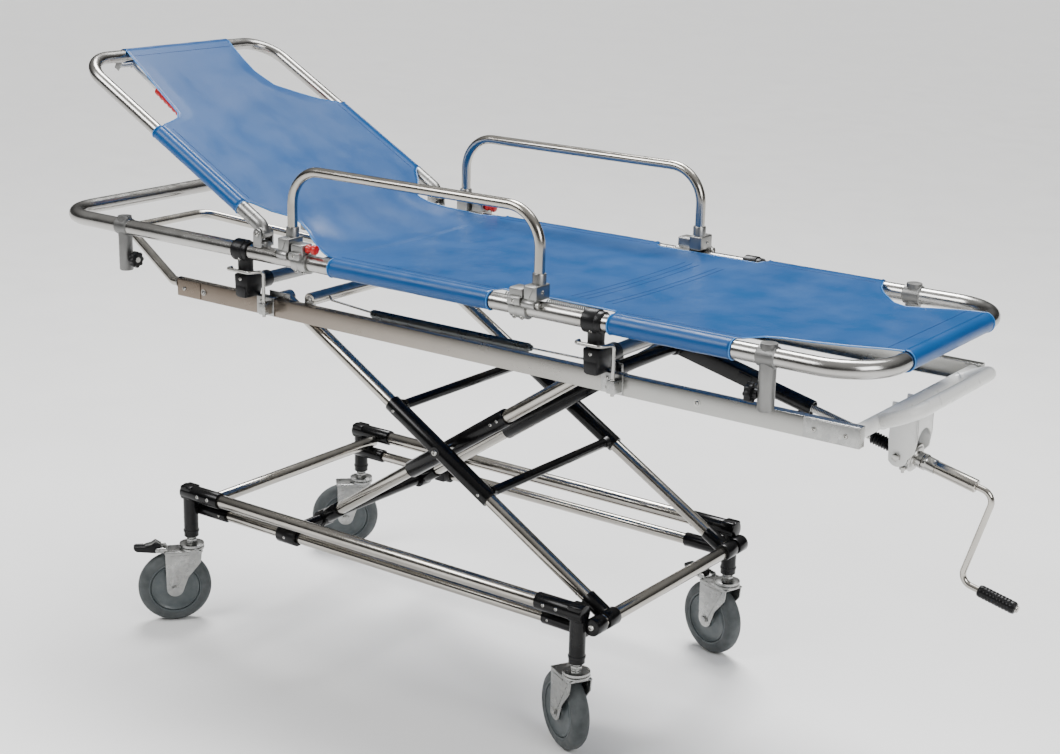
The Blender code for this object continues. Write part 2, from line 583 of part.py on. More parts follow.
def support_saddle(end):
    """Cross tube over the rails with a block at each side that the stretcher's rings sit on."""
    x = SADDLE_X[end]
    solids = [rod((x, -0.250, SADDLE_CROSS_Z), (x, 0.250, SADDLE_CROSS_Z), CROSS_R)]
    for side in (NEAR, FAR):
        solids.append(rod((x, side * 0.204, SADDLE_CROSS_Z), (x, side * 0.250, SADDLE_CROSS_Z), 0.0165))
        outline = [(x - 0.013, RAIL_Z1 + GAP), (x + 0.013, RAIL_Z1 + GAP), (x + 0.019, 0.740),
                   (x + 0.019, SADDLE_TOP), (x - 0.019, SADDLE_TOP), (x - 0.019, 0.740)]
        solids.append(plate(outline, 0.050, upright_plane(side * 0.2585)))
    name = f"support_saddle_{END_NAMES[end]}"
    node(name, fuse(*solids), "black_plastic")


def wire_bail(end, side):
    """Latch wire: an upright rod beside the rail whose top hooks round the ring's neck."""
    x, y, outside = bail_x(end), side * BAIL_Y, side * (BAIL_Y + 0.027)
    top = 0.7740
    tip = SADDLE_X[end] - 0.027
    hook = [Vector((x, y, 0.6850)), Vector((x, y, top)), Vector((x - 0.012, outside, top)),
            Vector((tip, outside, top)), Vector((tip, outside - side * 0.014, top))]
    wire = bent_tube(hook, BAIL_R, 0.006, 3, 8)
    name = f"wire_bail_{END_NAMES[end]}_{SIDE_NAMES[side]}"
    node(name, wire, "galvanised", pivot=(x, y, top))


def lift_spring(side):
    """Tension spring between the anchor tube and the upper slider, as its outer shape."""
    y = side * 0.178
    z = 0.7095
    coil = rod((-0.066, y, z), (0.313, y, z), 0.0085, 12)
    head_rod = rod((ANCHOR_X + 0.0140, y, z + 0.009), (-0.064, y, z + 0.001), 0.0025, 8)
    foot_rod = rod((0.311, y, z), (PIVOT_D.x - PIN_R - 0.0005, y, z + 0.004), 0.0025, 8)
    name = f"lift_spring_{SIDE_NAMES[side]}"
    node(name, fuse(coil, head_rod, foot_rod), "galvanised")


def upper_frame():
    for side in (NEAR, FAR):
        upper_rail(side)
        lift_spring(side)
    spring_anchor()
    head_bow()
    push_handle()
    for end in (HEAD, FOOT):
        support_saddle(end)
        for side in (NEAR, FAR):
            wire_bail(end, side)


# ---------------------------------------------------------------- jack and crank
def jack():
    """Jack tube on the upper slider, screw with its gear block, cranked arm and turning grip."""
    along = (GEAR_PIN - JACK_PIN).normalized()
    drop = Vector((along.z, 0.0, -along.x))
    casing = box((0.004, -0.0145, -0.0145), (0.176, 0.0145, 0.0145), 0.0025)
    casing.data.transform(Matrix.Translation(JACK_PIN) @ Matrix.Rotation(math.asin(-along.z), 4, "Y"))
    tube = fuse(casing, rod(JACK_PIN + along * 0.160, JACK_PIN + along * JACK_TUBE_LENGTH, 0.0138),
                rod(JACK_PIN - Vector((0, 0.020, 0)), JACK_PIN + Vector((0, 0.020, 0)), 0.0160))
    bores = [rod(JACK_PIN + along * 0.024, JACK_PIN + along * (JACK_TUBE_LENGTH + 0.02), JACK_BORE_R),
             rod(JACK_PIN - Vector((0, 0.04, 0)), JACK_PIN + Vector((0, 0.04, 0)), 0.0120 + GAP, 24)]
    node("jack_tube", cut(tube, *bores), "black_paint", pivot=JACK_PIN)

    block = box(GEAR_PIN - Vector((0.017, 0.0255, 0.017)), GEAR_PIN + Vector((0.017, 0.0255, 0.017)),
                0.003)
    screw = rod(GEAR_PIN - along * SCREW_LENGTH, GEAR_PIN, SCREW_R, 12)
    buffer = rod(GEAR_PIN - along * 0.062, GEAR_PIN - along * 0.010, 0.0115)
    hub = rod(GEAR_PIN, GEAR_PIN + along * 0.036, 0.0130)
    holes = [rod(GEAR_PIN + Vector((0, hand * 0.018, 0)), GEAR_PIN + Vector((0, hand * 0.04, 0)),
                 0.0053, 12) for hand in (-1, 1)]
    node("jack_screw", cut(fuse(block, screw, buffer, hub), *holes), "galvanised", pivot=GEAR_PIN)

    shaft_start = GEAR_PIN + along * (0.036 + GAP)
    knee = GEAR_PIN + along * 0.168
    elbow = GEAR_PIN + along * 0.160 + drop * CRANK_ARM
    shaft = bent_tube([GEAR_PIN + along * 0.120, knee, elbow, elbow + along * 0.108],
                      CRANK_R, (0.020, 0.020), 4)
    boss = rod(shaft_start, GEAR_PIN + along * 0.135, 0.0100)
    flange = rod(shaft_start, GEAR_PIN + along * 0.044, 0.0200)
    grip_start = elbow + along * 0.036
    crank_axis = GEAR_PIN + along * 0.10
    node("crank", fuse(boss, flange, shaft), "chromed_tube", pivot=crank_axis)

    grip = collar(grip_start, grip_start + along * CRANK_GRIP_LENGTH, 0.0110, CRANK_R + GAP)
    node("crank_grip", grip, "black_plastic", pivot=grip_start)


# ---------------------------------------------------------------- stretcher
def stretcher_half(end):
    """One U of the stretcher's loop, with its feet, its saddle rings and, at the head, hinge ears."""
    far_x = LOOP_X0 if end == HEAD else LOOP_X1
    split = LOOP_SPLIT_X + end * GAP / 2
    tube = bent_tube([(split, -TUBE_Y, TUBE_Z), (far_x, -TUBE_Y, TUBE_Z), (far_x, TUBE_Y, TUBE_Z),
                      (split, TUBE_Y, TUBE_Z)], TUBE_R, LOOP_BEND, 6, 16)
    solids = [tube]
    for side in (NEAR, FAR):
        y = side * TUBE_Y
        x = STUB_X[end]
        solids.append(rod((x, y, STUB_BOTTOM), (x, y, STUB_TOP), STUB_R))
        x = SADDLE_X[end]
        solids.append(rod((x - 0.018, y, TUBE_Z), (x + 0.018, y, TUBE_Z), TUBE_R + 0.0060))
        solids.append(rod((x, side * 0.2655, SADDLE_TOP + GAP), (x, side * 0.2655, TUBE_Z - 0.008), 0.0150))
        if end == HEAD:
            solids.append(box((BACK_HINGE_X - 0.0110, side * BACK_Y - 0.0180, 0.8205),
                              (BACK_HINGE_X + 0.0110, side * BACK_Y + 0.0180, 0.8320)))
            for offset in (-0.0160, 0.0160):
                ear = [(BACK_HINGE_X - 0.010, 0.8250), (BACK_HINGE_X + 0.010, 0.8250)]
                ear += arc(BACK_HINGE_X, BACK_HINGE_Z, 0.010, 0, 180, 6)
                solids.append(plate(ear, 0.004, upright_plane(side * BACK_Y + offset)))
            solids.append(rod((BACK_HINGE_X, side * BACK_Y - 0.0185, BACK_HINGE_Z),
                              (BACK_HINGE_X, side * BACK_Y + 0.0185, BACK_HINGE_Z), 0.004, 12))
    node(f"stretcher_frame_{END_NAMES[end]}", fuse(*solids), "aluminium_tube")


def foot_knob(end, side):
    """Star knob on a short screw in the foot stub, facing the middle of the stretcher."""
    x = STUB_X[end] - end * (STUB_R + GAP)
    inward = Vector((-end, 0, 0))
    start = Vector((x, side * TUBE_Y, KNOB_Z))
    lobes = 8
    outline = []
    for step in range(lobes * 2):
        radius = 0.0175 if step % 2 else 0.0142
        angle = math.tau * step / (lobes * 2)
        outline.append((radius * math.cos(angle), radius * math.sin(angle)))
    place = Matrix.Translation(start + inward * 0.014) @ turn_to(inward)
    knob = fuse(plate(outline, 0.013, place), rod(start, start + inward * 0.010, 0.006, 12))
    name = f"foot_knob_{END_NAMES[end]}_{SIDE_NAMES[side]}"
    node(name, knob, "black_plastic", pivot=start)


def rail_clamp(index, side):
    """Casting round the stretcher's tube that carries one hinge of a side rail."""
    x, y = RAIL_CLAMP_X[index], side * TUBE_Y
    post_x = RAIL_POST_X[index]
    outward = 1 if post_x > x else -1
    ring = rod((x - 0.017, y, TUBE_Z), (x + 0.017, y, TUBE_Z), TUBE_R + 0.0050)
    block = box((x - 0.0145, side * 0.2600, TUBE_Z + 0.005), (x + 0.0145, side * 0.2900, 0.8480), 0.002)
    lug = box((x - 0.0136, side * 0.2660, 0.8190), (x + 0.0136, side * 0.2980, 0.8340), 0.002)
    pin = rod((x, side * RAIL_HINGE_Y, RAIL_HINGE_Z),
              (post_x + outward * 0.0190, side * RAIL_HINGE_Y, RAIL_HINGE_Z), 0.0038, 12)
    clamp = fuse(ring, block, lug, pin)
    cutters = [rod((x - 0.03, y, TUBE_Z), (x + 0.03, y, TUBE_Z), TUBE_R + GAP, 32)]
    if index == 0:
        cutters.append(rod((x - 0.03, side * 0.2750, 0.8400), (x + 0.03, side * 0.2750, 0.8400), 0.0034, 12))
    name = f"rail_clamp_{'head' if index == 0 else 'foot'}_{SIDE_NAMES[side]}"
    node(name, cut(clamp, *cutters), "aluminium_tube")


def side_rail(side):
    """Safety rail bow with a hinge block at the foot of each post; folds out and down."""
    y = side * RAIL_POST_Y
    top = RAIL_TOP_Z
    bow = bent_tube([(RAIL_POST_X[0], y, 0.843), (RAIL_POST_X[0], y, top), (RAIL_POST_X[1], y, top),
                     (RAIL_POST_X[1], y, 0.843)], RAIL_TUBE_R, 0.068, 5)
    solids = [bow]
    bores = []
    for x in RAIL_POST_X:
        solids.append(rod((x, y, 0.8485), (x, y, 0.874), 0.0124))
        solids.append(box((x - 0.0135, side * 0.2490, 0.8285), (x + 0.0135, side * 0.2920, 0.8560), 0.002))
        solids.append(rod((x - 0.0129, side * RAIL_HINGE_Y, RAIL_HINGE_Z),
                          (x + 0.0129, side * RAIL_HINGE_Y, RAIL_HINGE_Z), 0.0085))
        bores.append(rod((x - 0.03, side * RAIL_HINGE_Y, RAIL_HINGE_Z),
                         (x + 0.03, side * RAIL_HINGE_Y, RAIL_HINGE_Z), 0.0038 + GAP, 12))
    rail = cut(fuse(*solids), *bores)
    node(f"side_rail_{SIDE_NAMES[side]}", rail, "aluminium_tube",
         pivot=(0, side * RAIL_HINGE_Y, RAIL_HINGE_Z))


def rail_plunger(side):
    """Red pull knob whose pin locks the side rail's head hinge block."""
    y, z = side * 0.2750, 0.8400
    face = RAIL_CLAMP_X[0] + 0.0145 + GAP
    tip = RAIL_POST_X[0] + 0.0135 + GAP
    knob = turned([(0.0002, 0.0), (0.0075, 0.0), (0.0085, 0.004), (0.0062, 0.009), (0.0092, 0.016),
                   (0.0085, 0.023), (0.0002, 0.024)], (face, y, z), (1, 0, 0), 16)
    bm = bmesh.new()
    bm.from_mesh(knob.data)
    bmesh.ops.remove_doubles(bm, verts=bm.verts, dist=0.00045)
    bpy.data.objects.remove(knob)
    knob = as_object(bm)
    pin = rod((tip, y, z), (face + 0.010, y, z), 0.0030, 12)
    node(f"rail_plunger_{SIDE_NAMES[side]}", fuse(knob, pin), "red_plastic", pivot=(face, y, z))


def backrest_direction():
    """Unit vector up the backrest, and the normal of its upper face."""
    up = Vector((BACK_TOP_X - BACK_HINGE_X, 0.0, BACK_TOP_Z - BACK_HINGE_Z)).normalized()
    return up, Vector((-up.z, 0.0, up.x)) * -1.0


def backrest():
    """Backrest bow on its two hinges, its sling and the release bar hung under its top tube."""
    hinge = Vector((BACK_HINGE_X, 0.0, BACK_HINGE_Z))
    top = Vector((BACK_TOP_X, 0.0, BACK_TOP_Z))
    up, over = backrest_direction()
    near, far = Vector((0, -BACK_Y, 0)), Vector((0, BACK_Y, 0))
    foot = hinge - Vector((0, 0, 0.004))
    knee = hinge + Vector((0, 0, 0.010)) + up * 0.006
    bow = bent_tube([foot + near, knee + near, top + near, top + far, knee + far, foot + far],
                    BACK_R, (0.0165, 0.070, 0.070, 0.0165), 5, 16)
    eyes = [rod(hinge + side - Vector((0, 0.0136, 0)), hinge + side + Vector((0, 0.0136, 0)), 0.0125)
            for side in (near, far)]
    bores = [rod(hinge + side - Vector((0, 0.04, 0)), hinge + side + Vector((0, 0.04, 0)),
                 0.004 + GAP, 12) for side in (near, far)]
    length = (top - hinge).length
    place = Matrix(((0, up.x, over.x, hinge.x), (1, 0, 0, 0), (0, up.z, over.z, hinge.z), (0, 0, 0, 1)))
    lugs = []
    for side in (NEAR, FAR):
        lug = box((side * 0.1540, length - 0.007, -0.0320), (side * 0.1590, length + 0.007, -0.0060), 0.001)
        lug.data.transform(place)
        lugs.append(lug)
    frame = cut(fuse(bow, *eyes, *lugs), *bores)
    node("backrest_frame", frame, "aluminium_tube", pivot=hinge)

    half = BACK_Y - BACK_R - 0.0015
    low, high = 0.055, length - BACK_R - 0.0015
    waist = 0.165
    outline = [(-half, low), (half, low), (half, high - 0.170)]
    outline += [(waist + 0.018, high - 0.150), (waist, high - 0.120), (waist, high)]
    outline += [(-waist, high), (-waist, high - 0.120), (-waist - 0.018, high - 0.150),
                (-half, high - 0.170)]
    lift = Matrix.Translation((0, 0, 0.006))
    node("backrest_cover", plate(outline, COVER_T, place @ lift), "blue_cover", pivot=hinge)

    lever_low, hook_w, grip_w = length - 0.215, -0.0245, -0.034
    lever_y, hinge_y = 0.115, 0.1565
    corners = [(-lever_y, length, hook_w), (-lever_y, lever_low, grip_w), (lever_y, lever_low, grip_w),
               (lever_y, length, hook_w)]
    lever = bent_tube([place @ Vector(corner) for corner in corners], 0.004, 0.014, 3, 8)
    hinge_end = hinge_y - 0.0025 - GAP
    hinge_bar = rod(place @ Vector((-hinge_end, length, hook_w)),
                    place @ Vector((hinge_end, length, hook_w)), 0.0045, 12)
    grips = [rod(place @ Vector((side * lever_y, length - 0.086, -0.0283)),
                 place @ Vector((side * lever_y, length - 0.176, -0.0323)), 0.0090, 14)
             for side in (NEAR, FAR)]
    node("backrest_release_bar", fuse(lever, hinge_bar, *grips), "white_paint",
         pivot=place @ Vector((0, length, hook_w)))


def seat_cover():
    """Flat sling between the side tubes, cut away round the feet at the foot end."""
    half = TUBE_Y - TUBE_R - 0.0065
    end = LOOP_X1 - TUBE_R - 0.0015
    start, neck = -0.205, 0.160
    outline = [(start, -half), (0.790, -half), (0.800, -0.200), (0.845, -neck), (end, -neck),
               (end, neck), (0.845, neck), (0.800, 0.200), (0.790, half), (start, half)]
    node("seat_cover", plate(outline, COVER_T, Matrix.Translation((0, 0, TUBE_Z + 0.0075))), "blue_cover")


def stretcher():
    for end in (HEAD, FOOT):
        stretcher_half(end)
        for side in (NEAR, FAR):
            foot_knob(end, side)
    for side in (NEAR, FAR):
        for index in (0, 1):
            rail_clamp(index, side)
        side_rail(side)
        rail_plunger(side)
    backrest()
    seat_cover()


# ---------------------------------------------------------------- the whole trolley
def place_in_row_frame():
    """Parents every top-level node to one empty that carries the shift to the row frame."""
    origin = bpy.data.objects.new("trolley_origin", None)
    bpy.context.scene.collection.objects.link(origin)
    for piece in list(bpy.data.objects):
        if piece.parent is None and piece is not origin:
            piece.parent = origin
    origin.location = ROW_SHIFT


def main():
    clear_scene()
    base_frame()
    castors()
    scissor()
    upper_frame()
    jack()
    stretcher()
    place_in_row_frame()
    bpy.context.view_layer.update()


main()
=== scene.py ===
"""Looks for the stretcher trolley: fine tubes, castings, castors, canvas and finishes."""
import math

import bmesh
import bpy
from mathutils import Matrix, Vector, noise


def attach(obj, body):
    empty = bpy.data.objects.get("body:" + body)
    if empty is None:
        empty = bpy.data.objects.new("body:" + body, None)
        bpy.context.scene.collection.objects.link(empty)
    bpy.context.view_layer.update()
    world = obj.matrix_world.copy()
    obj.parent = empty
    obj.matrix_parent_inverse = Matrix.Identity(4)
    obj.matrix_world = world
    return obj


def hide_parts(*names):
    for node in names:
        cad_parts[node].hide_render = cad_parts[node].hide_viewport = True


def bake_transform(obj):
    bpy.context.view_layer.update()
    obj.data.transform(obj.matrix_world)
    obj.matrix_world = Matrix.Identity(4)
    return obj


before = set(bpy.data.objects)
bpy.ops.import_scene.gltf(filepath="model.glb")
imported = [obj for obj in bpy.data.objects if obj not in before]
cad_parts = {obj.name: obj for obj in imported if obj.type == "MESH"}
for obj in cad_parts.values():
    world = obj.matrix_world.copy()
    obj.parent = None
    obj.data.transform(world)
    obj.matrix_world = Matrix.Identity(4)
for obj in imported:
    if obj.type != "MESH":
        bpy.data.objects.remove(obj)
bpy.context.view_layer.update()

ORIGIN = Vector((-0.1543, 0.0268, 0.0))      # from the trolley's own centre to the frame's origin
NEAR, FAR, HEAD, FOOT = -1, 1, -1, 1
SIDE = {NEAR: "near", FAR: "far"}
END = {HEAD: "head", FOOT: "foot"}
CORNERS = [(end, side) for end in (HEAD, FOOT) for side in (NEAR, FAR)]

TUBE_Y, TUBE_Z, TUBE_R = 0.268, 0.811, 0.0155
RAIL_X0, RAIL_X1, RAIL_Z0, RAIL_Z1 = -0.526, 0.984, 0.683, 0.718
TRAIL_ANGLE = {(HEAD, NEAR): 229.6, (HEAD, FAR): 224.6, (FOOT, NEAR): 152.0, (FOOT, FAR): 163.6}
PIVOT_A, PIVOT_B = Vector((0.511, 0.255)), Vector((-0.262, 0.715))
CENTRE = (PIVOT_A + PIVOT_B) / 2
PIVOT_C = Vector((-0.2150, 0.255))
PIVOT_D = 2 * CENTRE - PIVOT_C
SADDLE_X = {HEAD: -0.313, FOOT: 0.501}
JACK_PIN, GEAR_PIN = Vector((0.505, 0.0, 0.7155)), Vector((0.954, 0.0, 0.609))
BACK_HINGE, BACK_TOP = Vector((-0.268, 0.0, 0.851)), Vector((-0.765, 0.0, 1.132))
BACK_Y, BACK_R = 0.262, 0.0125
RAIL_POST_X, RAIL_CLAMP_X = (-0.190, 0.380), (-0.158, 0.349)
CASTOR_X, CASTOR_Y = 0.484, 0.266            # swivel axes of the castors
TRAIL, WHEEL_R = 0.037, 0.075                # axle behind the swivel axis, and its height
SIDE_TUBE_Z, SIDE_TUBE_END = 0.2775, 0.3965  # upper side tubes of the base
SLIDE_Y, SLIDE_Z = 0.244, 0.240              # lower tubes, which the slider runs on
OUTER_LEG_Y, INNER_LEG_Y = 0.208, 0.155
BRACE_REACH, SLEEVE_REACH = 0.123, 0.137     # from the middle pin, along a leg
SPRING_Y, SPRING_Z, SADDLE_Z = 0.178, 0.7095, 0.7455
STUB_X = {HEAD: -0.647, FOOT: 0.829}
LOOP_SPLIT_X = 0.070
RAIL_HINGE_Y, RAIL_HINGE_Z = 0.290, 0.824


# ---------------------------------------------------------------- shapes
def turn_to(direction):
    """Rotation that carries +Z to a direction."""
    return Vector(direction).to_track_quat("Z", "Y").to_matrix().to_4x4()


def soften(bm, width, segments=2, angle=30):
    """Rounds every edge that turns sharply."""
    sharp = [edge for edge in bm.edges
             if len(edge.link_faces) == 2 and edge.calc_face_angle(0) > math.radians(angle)]
    bmesh.ops.bevel(bm, geom=sharp, offset=width, segments=segments, profile=0.5,
                    affect="EDGES", clamp_overlap=True, material=-1)
    return bm


def bar(start, end, radius, sides=32, rounding=0.0006):
    """Round bar with eased ends."""
    start, end = Vector(start), Vector(end)
    bm = bmesh.new()
    place = Matrix.Translation((start + end) / 2) @ turn_to(end - start)
    bmesh.ops.create_cone(bm, cap_ends=True, segments=sides, radius1=radius, radius2=radius,
                          depth=(end - start).length, matrix=place)
    if rounding:
        soften(bm, rounding, 2, 60)
    return bm


def turned(profile, start, direction, sides=40):
    """A (radius, height) outline spun about an axis; a closed outline makes a ring."""
    bm = bmesh.new()
    points = [bm.verts.new((radius, 0.0, height)) for radius, height in profile]
    edges = [bm.edges.new(pair) for pair in zip(points, points[1:])]
    if profile[0][0] > 0 and profile[-1][0] > 0:
        edges.append(bm.edges.new((points[-1], points[0])))
    bmesh.ops.spin(bm, geom=points + edges, cent=(0, 0, 0), axis=(0, 0, 1), dvec=(0, 0, 0),
                   angle=math.tau, steps=sides, use_merge=True, use_duplicate=False)
    bmesh.ops.remove_doubles(bm, verts=bm.verts, dist=1e-6)
    place = Matrix.Translation(Vector(start)) @ turn_to(direction)
    bmesh.ops.transform(bm, matrix=place, verts=bm.verts)
    return bm


def block(low, high, rounding=0.001, segments=3):
    """A box between two corners with rounded edges."""
    low, high = Vector(low), Vector(high)
    bm = bmesh.new()
    size = high - low
    scale = Matrix.Diagonal((abs(size.x), abs(size.y), abs(size.z), 1.0))
    bmesh.ops.create_cube(bm, size=1.0, matrix=Matrix.Translation((low + high) / 2) @ scale)
    bmesh.ops.bevel(bm, geom=bm.edges[:], offset=rounding, segments=segments, profile=0.5,
                    affect="EDGES", clamp_overlap=True, material=-1)
    return bm


def plate(outline, thickness, place, rounding=0.0006):
    """A flat outline thickened evenly about its plane, with eased edges."""
    bm = bmesh.new()
    face = bm.faces.new([bm.verts.new((u, v, -thickness / 2)) for u, v in outline])
    grown = bmesh.ops.extrude_face_region(bm, geom=[face])
    lifted = [item for item in grown["geom"] if isinstance(item, bmesh.types.BMVert)]
    bmesh.ops.translate(bm, vec=(0, 0, thickness), verts=lifted)
    bmesh.ops.recalc_face_normals(bm, faces=bm.faces)
    if rounding:
        soften(bm, rounding, 2, 40)
    bmesh.ops.transform(bm, matrix=place, verts=bm.verts)
    return bm


def upright(y):
    """Places a plate's outline as (x, z) at a given y."""
    return Matrix.Translation((0, y, 0)) @ Matrix.Rotation(math.pi / 2, 4, "X")


def arc(u, v, radius, start, end, steps):
    """Points of an arc about (u, v), by angle in degrees."""
    angles = [math.radians(start + (end - start) * i / steps) for i in range(steps + 1)]
    return [(u + radius * math.cos(a), v + radius * math.sin(a)) for a in angles]


def swept(corners, radius, bends=(), sides=28, step=7.5):
    """A bent bar: a disc pushed along each straight and spun round each bend."""
    corners = [Vector(corner) for corner in corners]
    bends = bends if isinstance(bends, tuple) else (bends,) * (len(corners) - 2)
    direction = (corners[1] - corners[0]).normalized()
    here = corners[0]
    bm = bmesh.new()
    bmesh.ops.create_circle(bm, cap_ends=True, segments=sides, radius=radius,
                            matrix=Matrix.Translation(here) @ turn_to(direction))
    ring = bm.edges[:]

    def push(ring, offset):
        """Carries the open end of the bar along a straight."""
        grown = bmesh.ops.extrude_edge_only(bm, edges=ring)["geom"]
        fresh = {item for item in grown if isinstance(item, bmesh.types.BMVert)}
        bmesh.ops.translate(bm, vec=offset, verts=list(fresh))
        return [edge for edge in bm.edges if edge.verts[0] in fresh and edge.verts[1] in fresh]

    for corner, after, bend in zip(corners[1:], corners[2:], bends):
        onward = (after - corner).normalized()
        angle = direction.angle(onward)
        start = corner - direction * bend * math.tan(angle / 2)
        ring = push(ring, start - here)
        inward = (onward - direction * direction.dot(onward)).normalized()
        points = list({vert for edge in ring for vert in edge.verts})
        spun = bmesh.ops.spin(bm, geom=points + ring, cent=start + inward * bend,
                              axis=direction.cross(onward), dvec=(0, 0, 0), angle=angle,
                              steps=max(3, round(math.degrees(angle) / step)), use_duplicate=False)
        ring = [item for item in spun["geom_last"] if isinstance(item, bmesh.types.BMEdge)]
        here = corner + onward * bend * math.tan(angle / 2)
        direction = onward
    ring = push(ring, corners[-1] - here)
    bmesh.ops.edgeloop_fill(bm, edges=ring)
    return bm


def screw_head(spot, direction, radius=0.0035, height=0.002):
    """Button head with a round socket."""
    profile = [(0.0, height * 0.35), (radius * 0.42, height * 0.35), (radius * 0.45, height),
               (radius * 0.8, height * 0.85), (radius, height * 0.3), (radius, 0.0), (0.0, 0.0)]
    return turned(profile, spot, direction, 20)


def hexagon(start, direction, across, height):
    """A nut or bolt head, measured across its flats."""
    bm = bar(start, Vector(start) + Vector(direction).normalized() * height, across / 1.732, 6, 0)
    return soften(bm, 0.0005, 2, 40)


def helix(start, radius, length, turns, wire):
    """A close-wound coil along +X."""
    start = Vector(start)
    bm = bmesh.new()
    place = Matrix.Translation(start + Vector((0, 0, radius))) @ Matrix.Rotation(math.pi / 2, 4, "X")
    bmesh.ops.create_circle(bm, cap_ends=False, segments=6, radius=wire, matrix=place)
    steps = turns * 12
    bmesh.ops.spin(bm, geom=bm.verts[:] + bm.edges[:], cent=start, axis=(1, 0, 0),
                   dvec=(length / steps, 0, 0), angle=math.tau * turns, steps=steps, use_duplicate=False)
    return bm


def cord(points, radius):
    """A thin cord through a row of points."""
    curve = bpy.data.curves.new("cord", "CURVE")
    curve.dimensions, curve.bevel_depth, curve.bevel_resolution = "3D", radius, 2
    spline = curve.splines.new("POLY")
    spline.points.add(len(points) - 1)
    for knot, point in zip(spline.points, points):
        knot.co = (*point, 1.0)
    holder = bpy.data.objects.new("cord", curve)
    mesh = bpy.data.meshes.new_from_object(holder)
    bm = bmesh.new()
    bm.from_mesh(mesh)
    bpy.data.objects.remove(holder)
    bpy.data.meshes.remove(mesh)
    return bm


def moved(bm, place):
    """The same shape after a transform."""
    bmesh.ops.transform(bm, matrix=place, verts=bm.verts)
    return bm


def piece(name, body, parts, nodes=(), sharp=38):
    """Joins (finish, shape) parts into one object that rides on a body and stands for CAD nodes."""
    whole = bmesh.new()
    finishes = []
    for finish, bm in parts:
        if finish not in finishes:
            finishes.append(finish)
        bmesh.ops.recalc_face_normals(bm, faces=bm.faces)
        for face in bm.faces:
            face.material_index = finishes.index(finish)
        holder = bpy.data.meshes.new("part")
        bm.to_mesh(holder)
        bm.free()
        whole.from_mesh(holder)
        bpy.data.meshes.remove(holder)
    bmesh.ops.translate(whole, vec=ORIGIN, verts=whole.verts)
    mesh = bpy.data.meshes.new(name)
    whole.to_mesh(mesh)
    whole.free()
    for finish in finishes:
        mesh.materials.append(FINISH[finish])
    mesh.shade_smooth()
    mesh.set_sharp_from_angle(angle=math.radians(sharp))
    made = bpy.data.objects.new(name, mesh)
    bpy.context.scene.collection.objects.link(made)
    if body:
        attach(made, body)
    if nodes:
        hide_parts(*nodes)
    return made


